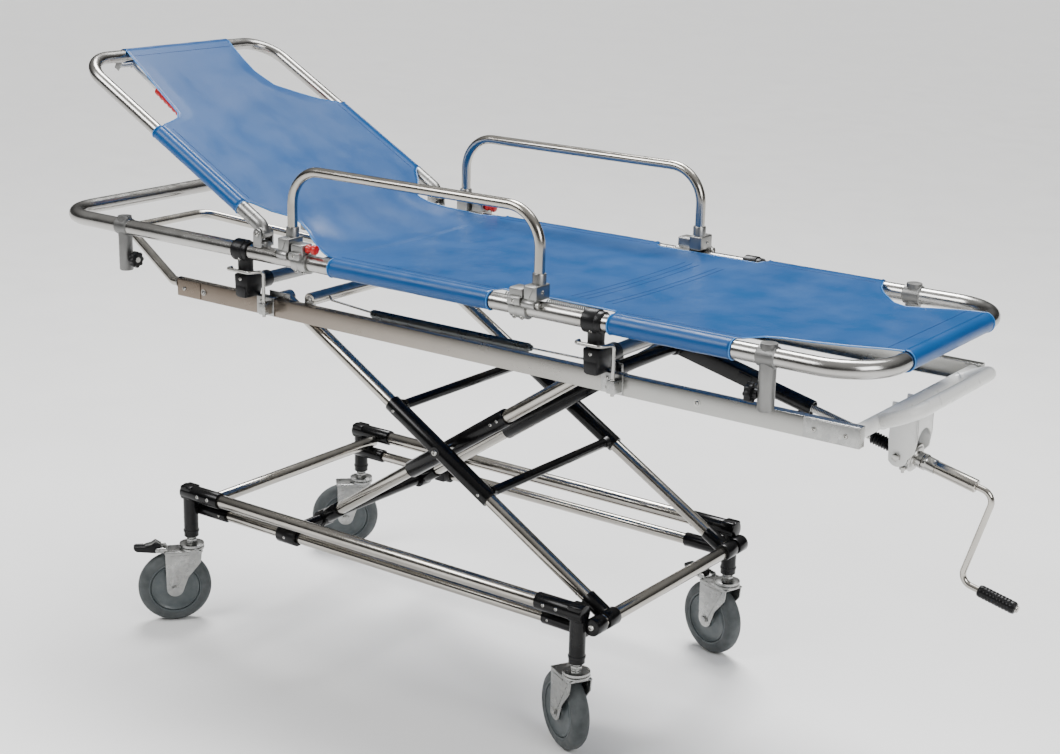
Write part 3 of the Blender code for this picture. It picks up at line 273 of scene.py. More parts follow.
# ---------------------------------------------------------------- finishes
class Surface:
    """A Principled finish with helpers for its procedural detail."""

    def __init__(self, name, colour, roughness, metallic=0.0, **constants):
        self.material = bpy.data.materials.new(name)
        self.material.use_nodes = True
        tree = self.material.node_tree
        self.nodes, self.links = tree.nodes, tree.links
        self.shader = self.nodes["Principled BSDF"]
        self.shader.inputs["Base Color"].default_value = (*colour, 1.0)
        self.shader.inputs["Roughness"].default_value = roughness
        self.shader.inputs["Metallic"].default_value = metallic
        for socket, value in constants.items():
            self.shader.inputs[socket.replace("_", " ")].default_value = value
        self.coords = self.nodes.new("ShaderNodeTexCoord").outputs["Object"]

    def stretched(self, scale):
        """Object coordinates scaled by axis."""
        mapping = self.nodes.new("ShaderNodeMapping")
        mapping.inputs["Scale"].default_value = scale
        self.links.new(self.coords, mapping.inputs["Vector"])
        return mapping.outputs["Vector"]

    def noise(self, scale, detail=4.0, roughness=0.55, vector=None):
        """Soft noise over the piece."""
        node = self.nodes.new("ShaderNodeTexNoise")
        node.inputs["Scale"].default_value = scale
        node.inputs["Detail"].default_value = detail
        node.inputs["Roughness"].default_value = roughness
        self.links.new(vector or self.coords, node.inputs["Vector"])
        return node.outputs["Fac"]

    def cells(self, scale, vector=None):
        """Random tone by cell."""
        node = self.nodes.new("ShaderNodeTexVoronoi")
        node.inputs["Scale"].default_value = scale
        self.links.new(vector or self.coords, node.inputs["Vector"])
        return node.outputs["Color"]

    def waves(self, scale, axis, vector=None):
        """Fine bands along one axis."""
        node = self.nodes.new("ShaderNodeTexWave")
        node.bands_direction = axis
        node.inputs["Scale"].default_value = scale
        self.links.new(vector or self.coords, node.inputs["Vector"])
        return node.outputs["Fac"]

    def ramp(self, value, *stops):
        """Colours by value."""
        node = self.nodes.new("ShaderNodeValToRGB")
        elements = node.color_ramp.elements
        while len(elements) < len(stops):
            elements.new(0.5)
        for element, (position, colour) in zip(elements, stops):
            element.position = position
            element.color = (*colour, 1.0)
        self.links.new(value, node.inputs["Fac"])
        return node.outputs["Color"]

    def spread(self, value, low, high, source=(0.3, 0.7)):
        """Rescales a value to a range."""
        node = self.nodes.new("ShaderNodeMapRange")
        node.inputs["From Min"].default_value = source[0]
        node.inputs["From Max"].default_value = source[1]
        node.inputs["To Min"].default_value = low
        node.inputs["To Max"].default_value = high
        self.links.new(value, node.inputs["Value"])
        return node.outputs["Result"]

    def blend(self, mode, factor, first, second):
        """Mixes two colours."""
        node = self.nodes.new("ShaderNodeMix")
        node.data_type = "RGBA"
        node.blend_type = mode
        for socket, value in (("Factor_Float", factor), ("A_Color", first), ("B_Color", second)):
            target = next(item for item in node.inputs if item.identifier == socket)
            if isinstance(value, bpy.types.NodeSocket):
                self.links.new(value, target)
            else:
                target.default_value = value
        return next(item for item in node.outputs if item.identifier == "Result_Color")

    def edge_wear(self):
        """Bright on convex edges, from how pointed the surface is there."""
        node = self.nodes.new("ShaderNodeNewGeometry")
        return self.spread(node.outputs["Pointiness"], 0.0, 1.0, (0.52, 0.60))

    def colour(self, socket):
        """Sets what drives the base colour."""
        self.links.new(socket, self.shader.inputs["Base Color"])
        return self

    def rough(self, socket):
        """Sets what drives the roughness."""
        self.links.new(socket, self.shader.inputs["Roughness"])
        return self

    def bump(self, height, strength, distance, after=None):
        """Adds surface relief, on top of an earlier relief if there is one."""
        node = self.nodes.new("ShaderNodeBump")
        node.inputs["Strength"].default_value = strength
        node.inputs["Distance"].default_value = distance
        self.links.new(height, node.inputs["Height"])
        if after is not None:
            self.links.new(after, node.inputs["Normal"])
        self.links.new(node.outputs["Normal"], self.shader.inputs["Normal"])
        return node.outputs["Normal"]


def metal(name, dark, light, smooth, dull, grain=900.0, strength=0.015):
    """Bare or plated metal: faint cloudy tone, drawn grain and a fine scratch bump."""
    surface = Surface(name, light, smooth, 1.0)
    cloud = surface.noise(5.0, 3.0)
    surface.colour(surface.ramp(cloud, (0.32, dark), (0.66, light)))
    surface.rough(surface.spread(surface.noise(40.0, 4.0), smooth, dull))
    surface.bump(surface.noise(grain, 2.0), strength, 0.0002)
    return surface.material


def folded_rail():
    """Rolled sheet: warmer and duller at the head end, paler towards the foot; this end-to-end shift is painted
    shade, not a tone of the sheet.
    """
    surface = Surface("reflective_rail", (0.5, 0.49, 0.47), 0.22, 1.0)
    split = surface.nodes.new("ShaderNodeSeparateXYZ")
    surface.links.new(surface.coords, split.inputs["Vector"])
    # painted shade: the colour grows darker and browner from the foot end towards the head end
    tone = surface.ramp(surface.spread(split.outputs["X"], 0.0, 1.0, (-0.55, 0.45)),
                        (0.0, (0.185, 0.150, 0.120)), (0.45, (0.26, 0.235, 0.205)), (1.0, (0.37, 0.37, 0.355)))
    drawn = surface.noise(26.0, 3.0, 0.5, surface.stretched((0.12, 1.0, 1.0)))
    surface.colour(surface.blend("MULTIPLY", 0.5, tone, surface.ramp(
        drawn, (0.3, (0.86, 0.86, 0.86)), (0.7, (1.0, 1.0, 1.0)))))
    surface.rough(surface.spread(surface.noise(12.0), 0.20, 0.30))
    surface.bump(surface.noise(500.0, 2.0), 0.02, 0.0002)
    return surface.material


def galvanised():
    """Bright zinc plate with faint spangle."""
    surface = Surface("bright_zinc", (0.50, 0.50, 0.49), 0.28, 1.0)
    spangle = surface.cells(150.0)
    tone = surface.ramp(spangle, (0.0, (0.33, 0.335, 0.33)), (1.0, (0.42, 0.42, 0.41)))
    surface.colour(surface.blend("MULTIPLY", 0.3, tone, surface.ramp(
        surface.noise(9.0), (0.3, (0.70, 0.69, 0.67)), (0.7, (1.0, 1.0, 1.0)))))
    surface.rough(surface.spread(surface.noise(60.0), 0.22, 0.36))
    surface.bump(surface.noise(700.0, 3.0), 0.04, 0.0003)
    return surface.material


def powder_coat(name, colour, worn, roughness, shine=0.5, grain=1500.0):
    """Sprayed coat with fine orange peel, a little dust and rubbed edges."""
    surface = Surface(name, colour, roughness, 0.0, Specular_IOR_Level=shine)
    dust = surface.ramp(surface.noise(22.0, 6.0), (0.45, colour),
                        (0.90, tuple(c * 0.9 + w * 0.1 for c, w in zip(colour, worn))))
    rubbed = surface.blend("MULTIPLY", 1.0, surface.edge_wear(), surface.noise(30.0, 5.0))
    surface.colour(surface.blend("MIX", surface.spread(rubbed, 0.0, 0.6, (0.3, 0.7)), dust, (*worn, 1.0)))
    surface.rough(surface.spread(surface.noise(45.0), roughness - 0.05, roughness + 0.08))
    surface.bump(surface.noise(grain, 2.0), 0.10, 0.0002)
    return surface.material


def moulding(name, colour, roughness, specks, shine=0.45):
    """Moulded plastic with a fine grain."""
    surface = Surface(name, colour, roughness, 0.0, Specular_IOR_Level=shine)
    surface.colour(surface.ramp(surface.noise(70.0, 5.0), (0.35, colour), (0.8, specks)))
    surface.rough(surface.spread(surface.noise(120.0), roughness - 0.05, roughness + 0.08))
    surface.bump(surface.cells(2200.0), 0.06, 0.0002)
    return surface.material


def coated_canvas():
    """Blue coated cloth: fine basket weave under a smooth skin, with soft creases and scuffs."""
    surface = Surface("blue_canvas", (0.0012, 0.058, 0.20), 0.34, 0.0, Specular_IOR_Level=0.35)
    tone = surface.noise(3.0, 5.0, 0.55)
    base = surface.ramp(tone, (0.30, (0.0010, 0.056, 0.195)), (0.70, (0.0014, 0.066, 0.225)))
    scuffs = surface.noise(24.0, 7.0, 0.65, surface.stretched((1.0, 0.3, 1.0)))
    surface.colour(surface.blend("MIX", surface.spread(scuffs, 0.0, 0.08, (0.62, 0.82)), base,
                                 (0.02, 0.11, 0.27, 1.0)))
    surface.rough(surface.spread(surface.noise(12.0, 5.0), 0.28, 0.42))
    weave = surface.blend("MULTIPLY", 1.0, surface.waves(620.0, "X"), surface.waves(620.0, "Y"))
    fine = surface.bump(weave, 0.06, 0.0002)
    creases = surface.noise(9.0, 5.0, 0.5, surface.stretched((1.0, 0.5, 1.0)))
    surface.bump(creases, 0.06, 0.004, fine)
    return surface.material


def tyre_rubber():
    """Grey rubber, paler where it is dusty."""
    surface = Surface("grey_rubber", (0.060, 0.068, 0.070), 0.62, 0.0, Specular_IOR_Level=0.35)
    surface.colour(surface.ramp(surface.noise(35.0, 7.0), (0.30, (0.045, 0.052, 0.054)),
                                (0.75, (0.095, 0.104, 0.106))))
    surface.rough(surface.spread(surface.noise(80.0), 0.5, 0.75))
    surface.bump(surface.noise(600.0, 4.0), 0.25, 0.0004)
    return surface.material


def floor_paint():
    """Pale even floor."""
    surface = Surface("pale_floor", (0.93, 0.93, 0.925), 0.6)
    surface.colour(surface.ramp(surface.noise(1.5, 4.0), (0.3, (0.92, 0.92, 0.915)),
                                (0.7, (0.94, 0.94, 0.935))))
    surface.rough(surface.spread(surface.noise(6.0), 0.5, 0.62))
    return surface.material


FINISH = {
    "stainless": metal("polished_stainless", (0.36, 0.34, 0.305), (0.46, 0.44, 0.405), 0.15, 0.23),
    "tube": metal("satin_aluminium_tube", (0.34, 0.33, 0.315), (0.44, 0.435, 0.42), 0.18, 0.26),
    "casting": metal("tumbled_casting", (0.25, 0.25, 0.245), (0.36, 0.36, 0.35), 0.30, 0.42, 420.0, 0.12),
    "rail": folded_rail(),
    "rough_stub": metal("rough_stub", (0.13, 0.13, 0.128), (0.22, 0.22, 0.215), 0.38, 0.52, 320.0, 0.35),
    "bolt": metal("plated_bolt", (0.34, 0.335, 0.32), (0.48, 0.475, 0.455), 0.18, 0.28),
    "spring": metal("dark_spring_wire", (0.08, 0.085, 0.088), (0.16, 0.17, 0.17), 0.24, 0.36),
    "zinc": galvanised(),
    "black": powder_coat("black_powder_coat", (0.0028, 0.0028, 0.0032), (0.02, 0.02, 0.02), 0.20, 0.22),
    "white": powder_coat("white_powder_coat", (0.66, 0.66, 0.64), (0.50, 0.50, 0.48), 0.30),
    "plastic": moulding("black_moulding", (0.0030, 0.0030, 0.0034), 0.32, (0.007, 0.007, 0.008), 0.25),
    "hub": moulding("grey_hub", (0.068, 0.082, 0.086), 0.34, (0.10, 0.114, 0.118)),
    "red": moulding("red_moulding", (0.40, 0.004, 0.006), 0.24, (0.50, 0.012, 0.012)),
    "thread": moulding("blue_thread", (0.001, 0.030, 0.14), 0.5, (0.002, 0.045, 0.18)),
    "piping": moulding("light_blue_piping", (0.030, 0.17, 0.46), 0.4, (0.05, 0.22, 0.52)),
    "rubber": tyre_rubber(),
    "canvas": coated_canvas(),
}


# ---------------------------------------------------------------- base
def corner_sockets():
    """Cast corners of the base, each with its castor post."""
    for end, side in CORNERS:
        x, y = end * CASTOR_X, side * CASTOR_Y
        post = turned([(0.0, 0.0), (0.0138, 0.0), (0.015, 0.0012), (0.015, 0.1095), (0.0, 0.1095)],
                      (x, y, 0.182), (0, 0, 1))
        ring = turned([(0.0145, 0.0), (0.0162, 0.0004), (0.0162, 0.004), (0.0145, 0.0044)],
                      (x, y, 0.1925), (0, 0, 1))
        sleeve = bar((x + end * 0.015, y, SIDE_TUBE_Z), (end * 0.397, y, SIDE_TUBE_Z), 0.0165, 40, 0.0012)
        corner = block((x - 0.0152, y - 0.0150, 0.2640), (x + 0.0152, y + 0.0150, 0.2936), 0.004)
        low = bar((end * 0.486, side * 0.2455, 0.240), (end * 0.397, side * 0.244, 0.240), 0.0142, 36, 0.001)
        gusset = block((end * 0.4715, side * 0.243, 0.2285), (end * 0.4965, side * 0.264, 0.2515), 0.004)
        parts = [("black", shape) for shape in (post, ring, sleeve, corner, low, gusset)]
        for step in (0.447, 0.419):
            parts.append(("bolt",
                          screw_head((end * step, side * 0.2822, 0.2790), (0, side, 0), 0.0038, 0.0022)))
        parts.append(("bolt", screw_head((end * 0.412, side * 0.2580, 0.2400), (0, side, 0), 0.0028, 0.0016)))
        if end == FOOT:
            parts.append(("black",
                          bar((0.511, side * 0.2335, 0.255), (0.511, side * 0.264, 0.255), 0.0165, 40, 0.0015)))
            parts.append(("bolt", screw_head((0.511, side * 0.2638, 0.255), (0, side, 0), 0.0060, 0.0030)))
        name = f"corner_socket_{END[end]}_{SIDE[side]}"
        piece("cast_" + name, "base", parts, [name])


def base_tubes():
    """Side tubes, slide tubes and the two cross tubes."""
    for side in (NEAR, FAR):
        y = side * CASTOR_Y
        piece(f"upper_side_tube_{SIDE[side]}", "base",
              [("stainless",
                bar((-SIDE_TUBE_END, y, SIDE_TUBE_Z), (SIDE_TUBE_END, y, SIDE_TUBE_Z), 0.0135, 40))],
              [f"base_rail_{SIDE[side]}"])
        y = side * SLIDE_Y
        piece(f"lower_slide_tube_{SIDE[side]}", "base",
              [("stainless", bar((-SIDE_TUBE_END, y, SLIDE_Z), (SIDE_TUBE_END, y, SLIDE_Z), 0.011, 40))],
              [f"slide_rail_{SIDE[side]}"])
    piece("head_cross_tube", "base",
          [("stainless", bar((-0.432, -0.248, 0.2685), (-0.432, 0.248, 0.2685), 0.0125, 40))],
          ["base_cross_head"])
    piece("foot_cross_tube", "base",
          [("stainless", bar((0.511, -0.233, 0.255), (0.511, 0.233, 0.255), 0.0125, 40))],
          ["base_cross_foot"])


# ---------------------------------------------------------------- castors
def castor_place(end, side):
    """Swivel axis of one castor, turned to the way its wheel trails."""
    angle = math.radians(TRAIL_ANGLE[end, side])
    return Matrix.Translation((end * CASTOR_X, side * CASTOR_Y, 0)) @ Matrix.Rotation(angle, 4, "Z")


def fork_shapes(braked):
    """Swivel head, pressed fork and axle of one castor, its wheel trailing along +X."""
    race = turned([(0.0, 0.1535), (0.0200, 0.1535), (0.0252, 0.1550), (0.0258, 0.1580), (0.0248, 0.1605),
                   (0.0232, 0.1612), (0.0232, 0.1622), (0.0255, 0.1630), (0.0250, 0.1668),
                   (0.0190, 0.1685), (0.0130, 0.1690), (0.0, 0.1690)], (0, 0, 0), (0, 0, 1))
    stem = bar((0, 0, 0.168), (0, 0, 0.1818), 0.0080, 28)
    nut = hexagon((0, 0, 0.1688), (0, 0, 1), 0.0195, 0.0085)
    crown = block((-0.021, -0.0226, 0.1520), (0.0575, 0.0226, 0.1555), 0.0016)
    shapes = [race, stem, nut, crown]
    outline = [(-0.0195, 0.1550), (0.0560, 0.1550), (0.0555, 0.125), (0.0545, 0.0755)]
    outline += arc(TRAIL, WHEEL_R, 0.0175, 0, -150, 10) + [(0.010, 0.098), (-0.0165, 0.130)]
    for hand in (-1, 1):
        shapes.append(plate(outline, 0.003, upright(hand * 0.0207), 0.0011))
        rib = [(-0.010, 0.148), (0.046, 0.148), (0.044, 0.100)] + arc(TRAIL, 0.082, 0.009, 20, -170, 8)
        shapes.append(plate(rib, 0.0012, upright(hand * 0.0227), 0.0005))
        y = hand * 0.0225
        shapes.append(turned([(0.0, 0.0), (0.0095, 0.0), (0.0095, 0.0012), (0.0, 0.0014)],
                             (TRAIL, y, WHEEL_R), (0, hand, 0), 32))
        shapes.append(hexagon((TRAIL, y, WHEEL_R), (0, hand, 0), 0.0130, 0.0052))
    if braked:
        for hand in (-1, 1):
            ear = [(0.047, 0.1528), (0.073, 0.1540), (0.0755, 0.1590), (0.073, 0.1640), (0.053, 0.1640)]
            shapes.append(plate(ear, 0.003, upright(hand * 0.0155), 0.0010))
            shapes.append(screw_head((0.069, hand * 0.0170, 0.159), (0, hand, 0), 0.0036, 0.0018))
    return shapes


def wheel_shapes():
    """Two-part wheel about its own axle, which lies along Y."""
    half = 0.017
    side = [(0.0062, half - 0.001), (0.0105, half - 0.001), (0.0110, half + 0.0004), (0.0175, half + 0.0004),
            (0.0190, half - 0.0030), (0.0300, half - 0.0052), (0.0440, half - 0.0050), (0.0465, half - 0.0028),
            (0.0480, half - 0.0020), (0.0495, half - 0.0028), (0.0502, half - 0.0045)]
    hub = turned(side + [(r, -h) for r, h in reversed(side)], (0, 0, 0), (0, 1, 0), 64)
    tread = [(0.0500, half - 0.0050), (0.0508, half - 0.0022), (0.0540, half - 0.0010), (0.0600, half - 0.0006),
             (0.0655, half - 0.0016), (0.0700, half - 0.0046), (0.0732, half - 0.0090), (0.0748, 0.0035)]
    tyre = turned(tread + [(r, -h) for r, h in reversed(tread)], (0, 0, 0), (0, 1, 0), 96)
    flange = turned([(0.0505, half - 0.003), (0.0512, half - 0.0008), (0.0530, half - 0.0004),
                     (0.0540, half - 0.0014),
                     (0.0540, half - 0.004)], (0, 0, 0), (0, 1, 0), 64)
    return hub, tyre, flange


def castors():
    """Four castors, two of them with a toe brake."""
    for end, side in CORNERS:
        place = castor_place(end, side)
        tag = f"{END[end]}_{SIDE[side]}"
        braked = (end, side) in ((HEAD, NEAR), (FOOT, FAR))
        piece(f"swivel_fork_{tag}", f"castor_{tag}",
              [("zinc", moved(shape, place)) for shape in fork_shapes(braked)],
              [f"castor_fork_{tag}"])
        hub, tyre, flange = wheel_shapes()
        settle = place @ Matrix.Translation((TRAIL, 0, WHEEL_R))
        piece(f"wheel_{tag}", f"wheel_{tag}",
              [("hub", moved(hub, settle)), ("rubber", moved(tyre, settle)), ("hub", moved(flange, settle))],
              [f"castor_wheel_{tag}"], 50)
        if braked:
            lever = [(-0.008, -0.007), (0.006, -0.008), (0.026, -0.0055), (0.044, -0.003), (0.050, 0.003),
                     (0.048, 0.009), (0.030, 0.0075), (0.012, 0.010), (0.004, 0.016), (-0.006, 0.010)]
            spot = place @ Matrix.Translation((0.069, 0, 0.159))
            pedal = plate(lever, 0.022, upright(0.0), 0.0028)
            toe = [block((0.030 + 0.004 * i, -0.0098, 0.0070), (0.0318 + 0.004 * i, 0.0098, 0.0096), 0.0004)
                   for i in range(4)]
            strap = plate([(-0.006, 0.0095), (0.005, 0.0162), (0.013, 0.0105), (0.026, 0.0085), (0.026, 0.0103),
                           (0.014, 0.0125), (0.005, 0.0184), (-0.007, 0.0114)], 0.014, upright(0.0), 0.0005)
            parts = [("plastic", pedal)] + [("plastic", rib) for rib in toe] + [("zinc", strap)]
            piece(f"toe_brake_{tag}", f"brake_{tag}", [(f, moved(shape, spot)) for f, shape in parts],
                  [f"brake_pedal_{tag}"])


# ---------------------------------------------------------------- scissor
def along_leg(pivot, y, distance):
    """A point on a leg's line, a distance from the middle pin towards a pivot."""
    reach = (pivot - CENTRE).normalized() * distance
    return Vector((CENTRE.x + reach.x, y, CENTRE.y + reach.y))


def at(pivot, y):
    """A pivot of the linkage at a given y."""
    return Vector((pivot.x, y, pivot.y))


def scissor():
    """Outer pair, inner legs and the two sliders."""
    parts = []
    for side in (NEAR, FAR):
        y = side * OUTER_LEG_Y
        length = (PIVOT_A - CENTRE).length
        parts.append(("stainless", bar(along_leg(PIVOT_A, y, length - 0.012),
                                       along_leg(PIVOT_B, y, length - 0.008), 0.0125, 36)))
        parts.append(("black", bar(along_leg(PIVOT_A, y, SLEEVE_REACH), along_leg(PIVOT_B, y, SLEEVE_REACH),
                                   0.0165, 40, 0.0012)))
        parts.append(("black", turned([(0.0128, 0.0), (0.0160, 0.0), (0.0165, 0.001), (0.0165, 0.033),
                                       (0.0160, 0.034), (0.0128, 0.034)], at(PIVOT_A, y - 0.017), (0, 1, 0))))
        parts.append(("black", bar(along_leg(PIVOT_A, y, length - 0.013),
                                   along_leg(PIVOT_A, y, length - 0.055), 0.0152, 36, 0.001)))
        parts.append(("stainless", turned([(0.0064, 0.0), (0.0138, 0.0), (0.0138, 0.025), (0.0064, 0.025)],
                                          at(PIVOT_B, y - 0.0125), (0, 1, 0))))
        parts.append(("bolt", bar(at(CENTRE, side * 0.2240), at(CENTRE, side * 0.146), 0.0058, 24)))
        parts.append(("black", turned([(0.0, 0.0), (0.0105, 0.0), (0.0105, 0.0015), (0.0, 0.0017)],
                                      at(CENTRE, side * 0.2243), (0, side, 0))))
        parts.append(("bolt", screw_head(at(CENTRE, side * 0.2255), (0, side, 0), 0.0062, 0.0034)))
        for pivot, distance in ((PIVOT_A, 0.118), (PIVOT_B, 0.118), (PIVOT_A, 0.150 + 0.230)):
            spot = along_leg(pivot, side * 0.2240, distance)
            parts.append(("bolt", screw_head(spot, (0, side, 0), 0.0034, 0.0018)))
    for pivot in (PIVOT_A, PIVOT_B):
        start, end = along_leg(pivot, -OUTER_LEG_Y, BRACE_REACH), along_leg(pivot, OUTER_LEG_Y, BRACE_REACH)
        parts.append(("black", bar(start, end, 0.0095, 28)))
        for side in (NEAR, FAR):
            parts.append(("black", turned([(0.009, 0.0), (0.0125, 0.0), (0.0098, 0.010), (0.009, 0.010)],
                                          along_leg(pivot, side * 0.1925, BRACE_REACH), (0, -side, 0), 28)))
    piece("outer_leg_pair", "outer_legs", parts, ["outer_leg_frame"])
    for side in (NEAR, FAR):
        y = side * INNER_LEG_Y
        length = (PIVOT_C - CENTRE).length
        parts = [("stainless", bar(along_leg(PIVOT_C, y, length - 0.010),
                                   along_leg(PIVOT_D, y, length - 0.008), 0.0125, 36)),
                 ("black", bar(along_leg(PIVOT_C, y, SLEEVE_REACH), along_leg(PIVOT_D, y, SLEEVE_REACH),
                               0.0165, 40, 0.0012))]
        for pivot, bore, outer, finish in ((PIVOT_C, 0.0108, 0.0165, "black"),
                                           (PIVOT_D, 0.0063, 0.014, "stainless")):
            parts.append((finish, turned([(bore, 0.0), (outer, 0.0), (outer, 0.028), (bore, 0.028)],
                                         at(pivot, y - 0.014), (0, 1, 0))))
        parts.append(("black", bar(along_leg(PIVOT_C, y, length - 0.012),
                                   along_leg(PIVOT_C, y, length - 0.050), 0.0150, 36, 0.001)))
        for distance in (0.105, 0.122):
            parts.append(("bolt", screw_head(along_leg(PIVOT_D, side * 0.1708, distance), (0, side, 0), 0.0032,
                                             0.0016)))
        piece(f"inner_leg_tube_{SIDE[side]}", "inner_legs", parts, [f"inner_leg_{SIDE[side]}"])
    parts = [("black", bar((PIVOT_C.x, -0.222, 0.255), (PIVOT_C.x, 0.222, 0.255), 0.0105, 32))]
    for side in (NEAR, FAR):
        shoe = turned([(0.0126, 0.0), (0.0168, 0.0), (0.0175, 0.001), (0.0175, 0.047), (0.0168, 0.048),
                       (0.0126, 0.048)],
                      (PIVOT_C.x - 0.036, side * 0.244, 0.240), (1, 0, 0))
        parts.append(("plastic", shoe))
        parts.append(("plastic", block((PIVOT_C.x - 0.014, side * 0.216, 0.230),
                                       (PIVOT_C.x + 0.012, side * 0.236, 0.2645), 0.002)))
        parts.append(("bolt",
                      screw_head((PIVOT_C.x - 0.012, side * 0.2612, 0.240), (0, side, 0), 0.0030, 0.0016)))
    piece("slider_on_base", "lower_slider", parts, ["lower_slider"])
    parts = [("black", bar((0.505, -0.2075, 0.7155), (0.505, 0.2075, 0.7155), 0.0120, 36))]
    for side in (NEAR, FAR):
        outline = [(0.454, 0.693), (0.519, 0.693), (0.519, 0.7268), (0.454, 0.7268)]
        parts.append(("zinc", plate(outline, 0.006, upright(side * 0.2075), 0.001)))
        parts.append(("plastic", block((0.454, side * 0.209, 0.6875), (0.519, side * 0.240, 0.7135), 0.001)))
        parts.append(("bolt", bar(at(PIVOT_D, side * 0.2075), at(PIVOT_D, side * 0.134), 0.006, 24)))
        parts.append(("bolt", screw_head(at(PIVOT_D, side * 0.1345), (0, -side, 0), 0.0085, 0.003)))
    piece("slider_under_rails", "upper_slider", parts, ["upper_slider"])


# ---------------------------------------------------------------- upper frame
BAIL_X = {HEAD: -0.270, FOOT: 0.535}


def upper_rails():
    """Folded channel rails with their screws, pivot plates and latch brackets."""
    for side in (NEAR, FAR):
        outer, inner, web = 0.244, 0.226, 0.2415
        section = [(outer, RAIL_Z0), (outer, RAIL_Z1), (inner, RAIL_Z1), (inner, 0.7155), (web, 0.7155),
                   (web, 0.6855), (inner, 0.6855), (inner, RAIL_Z0)]
        lie = Matrix(((0, 0, 1, (RAIL_X0 + RAIL_X1) / 2), (1, 0, 0, 0), (0, 1, 0, 0), (0, 0, 0, 1)))
        parts = [("rail", plate([(side * y, z) for y, z in section], RAIL_X1 - RAIL_X0, lie, 0.0008)),
                 ("rail", block((RAIL_X1 - 0.030, side * 0.2262, 0.684),
                                (RAIL_X1 - 0.0002, side * 0.242, 0.717), 0.001)),
                 ("rail", block((RAIL_X0 + 0.0002, side * 0.2262, 0.684),
                                (RAIL_X0 + 0.004, side * 0.242, 0.717), 0.0008)),
                 ("zinc", block((-0.288, side * 0.2245, 0.687), (-0.236, side * 0.2275, 0.729), 0.0008)),
                 ("bolt", bar(at(PIVOT_B, side * 0.2265), at(PIVOT_B, side * 0.192), 0.006, 24)),
                 ("bolt", screw_head(at(PIVOT_B, side * 0.1925), (0, -side, 0), 0.0085, 0.003)),
                 ("rail",
                  block((RAIL_X0 + 0.001, side * 0.2436, 0.6845), (-0.461, side * 0.2450, 0.7165), 0.0005)),
                 ("zinc", block((0.885, side * 0.2436, 0.6845), (0.9835, side * 0.2452, 0.7165), 0.0005))]
        for x in (-0.505, -0.452, 0.690, 0.905, 0.960):
            parts.append(("bolt", turned([(0.0, 0.0), (0.0062, 0.0), (0.0062, 0.0009), (0.0, 0.0011)],
                                         (x, side * 0.2440, 0.7000), (0, side, 0), 28)))
            parts.append(("bolt", screw_head((x, side * 0.2448, 0.7000), (0, side, 0), 0.0045, 0.0026)))
        for end in (HEAD, FOOT):
            x = BAIL_X[end]
            parts.append(("zinc", block((x - 0.034, side * 0.2438, 0.6838), (x + 0.010, side * 0.2460, 0.7205),
                                        0.0007)))
            parts.append(("zinc", block((x - 0.034, side * 0.2300, 0.7186), (x + 0.010, side * 0.2460, 0.7205),
                                        0.0007)))
            channel = [(0.2440, 0.6900), (0.2682, 0.6900), (0.2682, 0.7120), (0.2440, 0.7120)]
            for offset in (-0.0075, 0.0075):
                wall = Matrix(((0, 0, 1, x + offset), (side, 0, 0, 0), (0, 1, 0, 0), (0, 0, 0, 1)))
                parts.append(("zinc", plate(channel, 0.0018, wall, 0.0005)))
            parts.append(("zinc", block((x - 0.0080, side * 0.2662, 0.6900),
                                        (x + 0.0080, side * 0.2680, 0.7120), 0.0005)))
            for z in (0.6925, 0.7105):
                parts.append(("bolt", screw_head((x - 0.0215, side * 0.2459, z), (0, side, 0), 0.0036, 0.0020)))
        piece(f"folded_rail_{SIDE[side]}", "upper_frame", parts, [f"upper_rail_{SIDE[side]}"])


def springs_and_anchor():
    """Anchor tube and the two lift springs with their draw rods."""
    parts = [("stainless", bar((-0.188, -0.2225, 0.7255), (-0.188, 0.2225, 0.7255), 0.0125, 36))]
    for side in (NEAR, FAR):
        parts.append(("zinc", block((-0.198, side * 0.214, 0.710), (-SPRING_Y, side * 0.2257, 0.722), 0.001)))
        parts.append(("bolt", screw_head((-0.188, side * 0.2220, 0.7255), (0, side, 0), 0.0070, 0.003)))
    piece("anchor_tube", "upper_frame", parts, ["spring_anchor"])
    for side in (NEAR, FAR):
        y, z = side * SPRING_Y, SPRING_Z
        coil = helix((-0.065, y, z), 0.0074, 0.365, 136, 0.00115)
        hook = swept([(-0.175, y, z + 0.0165), (-0.172, y, z + 0.009), (-0.064, y, z + 0.001)], 0.0022, 0.006,
                     12)
        parts = [("spring", coil), ("bolt", hook), ("spring", helix((0.300, y, z), 0.0048, 0.006, 3, 0.00115)),
                 ("spring", bar((-0.068, y, z), (-0.063, y, z), 0.0072, 24))]
        piece(f"coil_spring_{SIDE[side]}", "upper_frame", parts, [f"lift_spring_{SIDE[side]}"])
        # the draw rod goes with the slider, and its inner end runs in and out of the coil as the trolley lifts
        rod = swept([(0.150, y, z), (0.312, y, z), (0.440, y, z + 0.0015), (0.4568, y, z + 0.005)], 0.0020,
                    0.010, 12)
        piece(f"spring_draw_rod_{SIDE[side]}", "upper_slider", [("bolt", rod)], [])


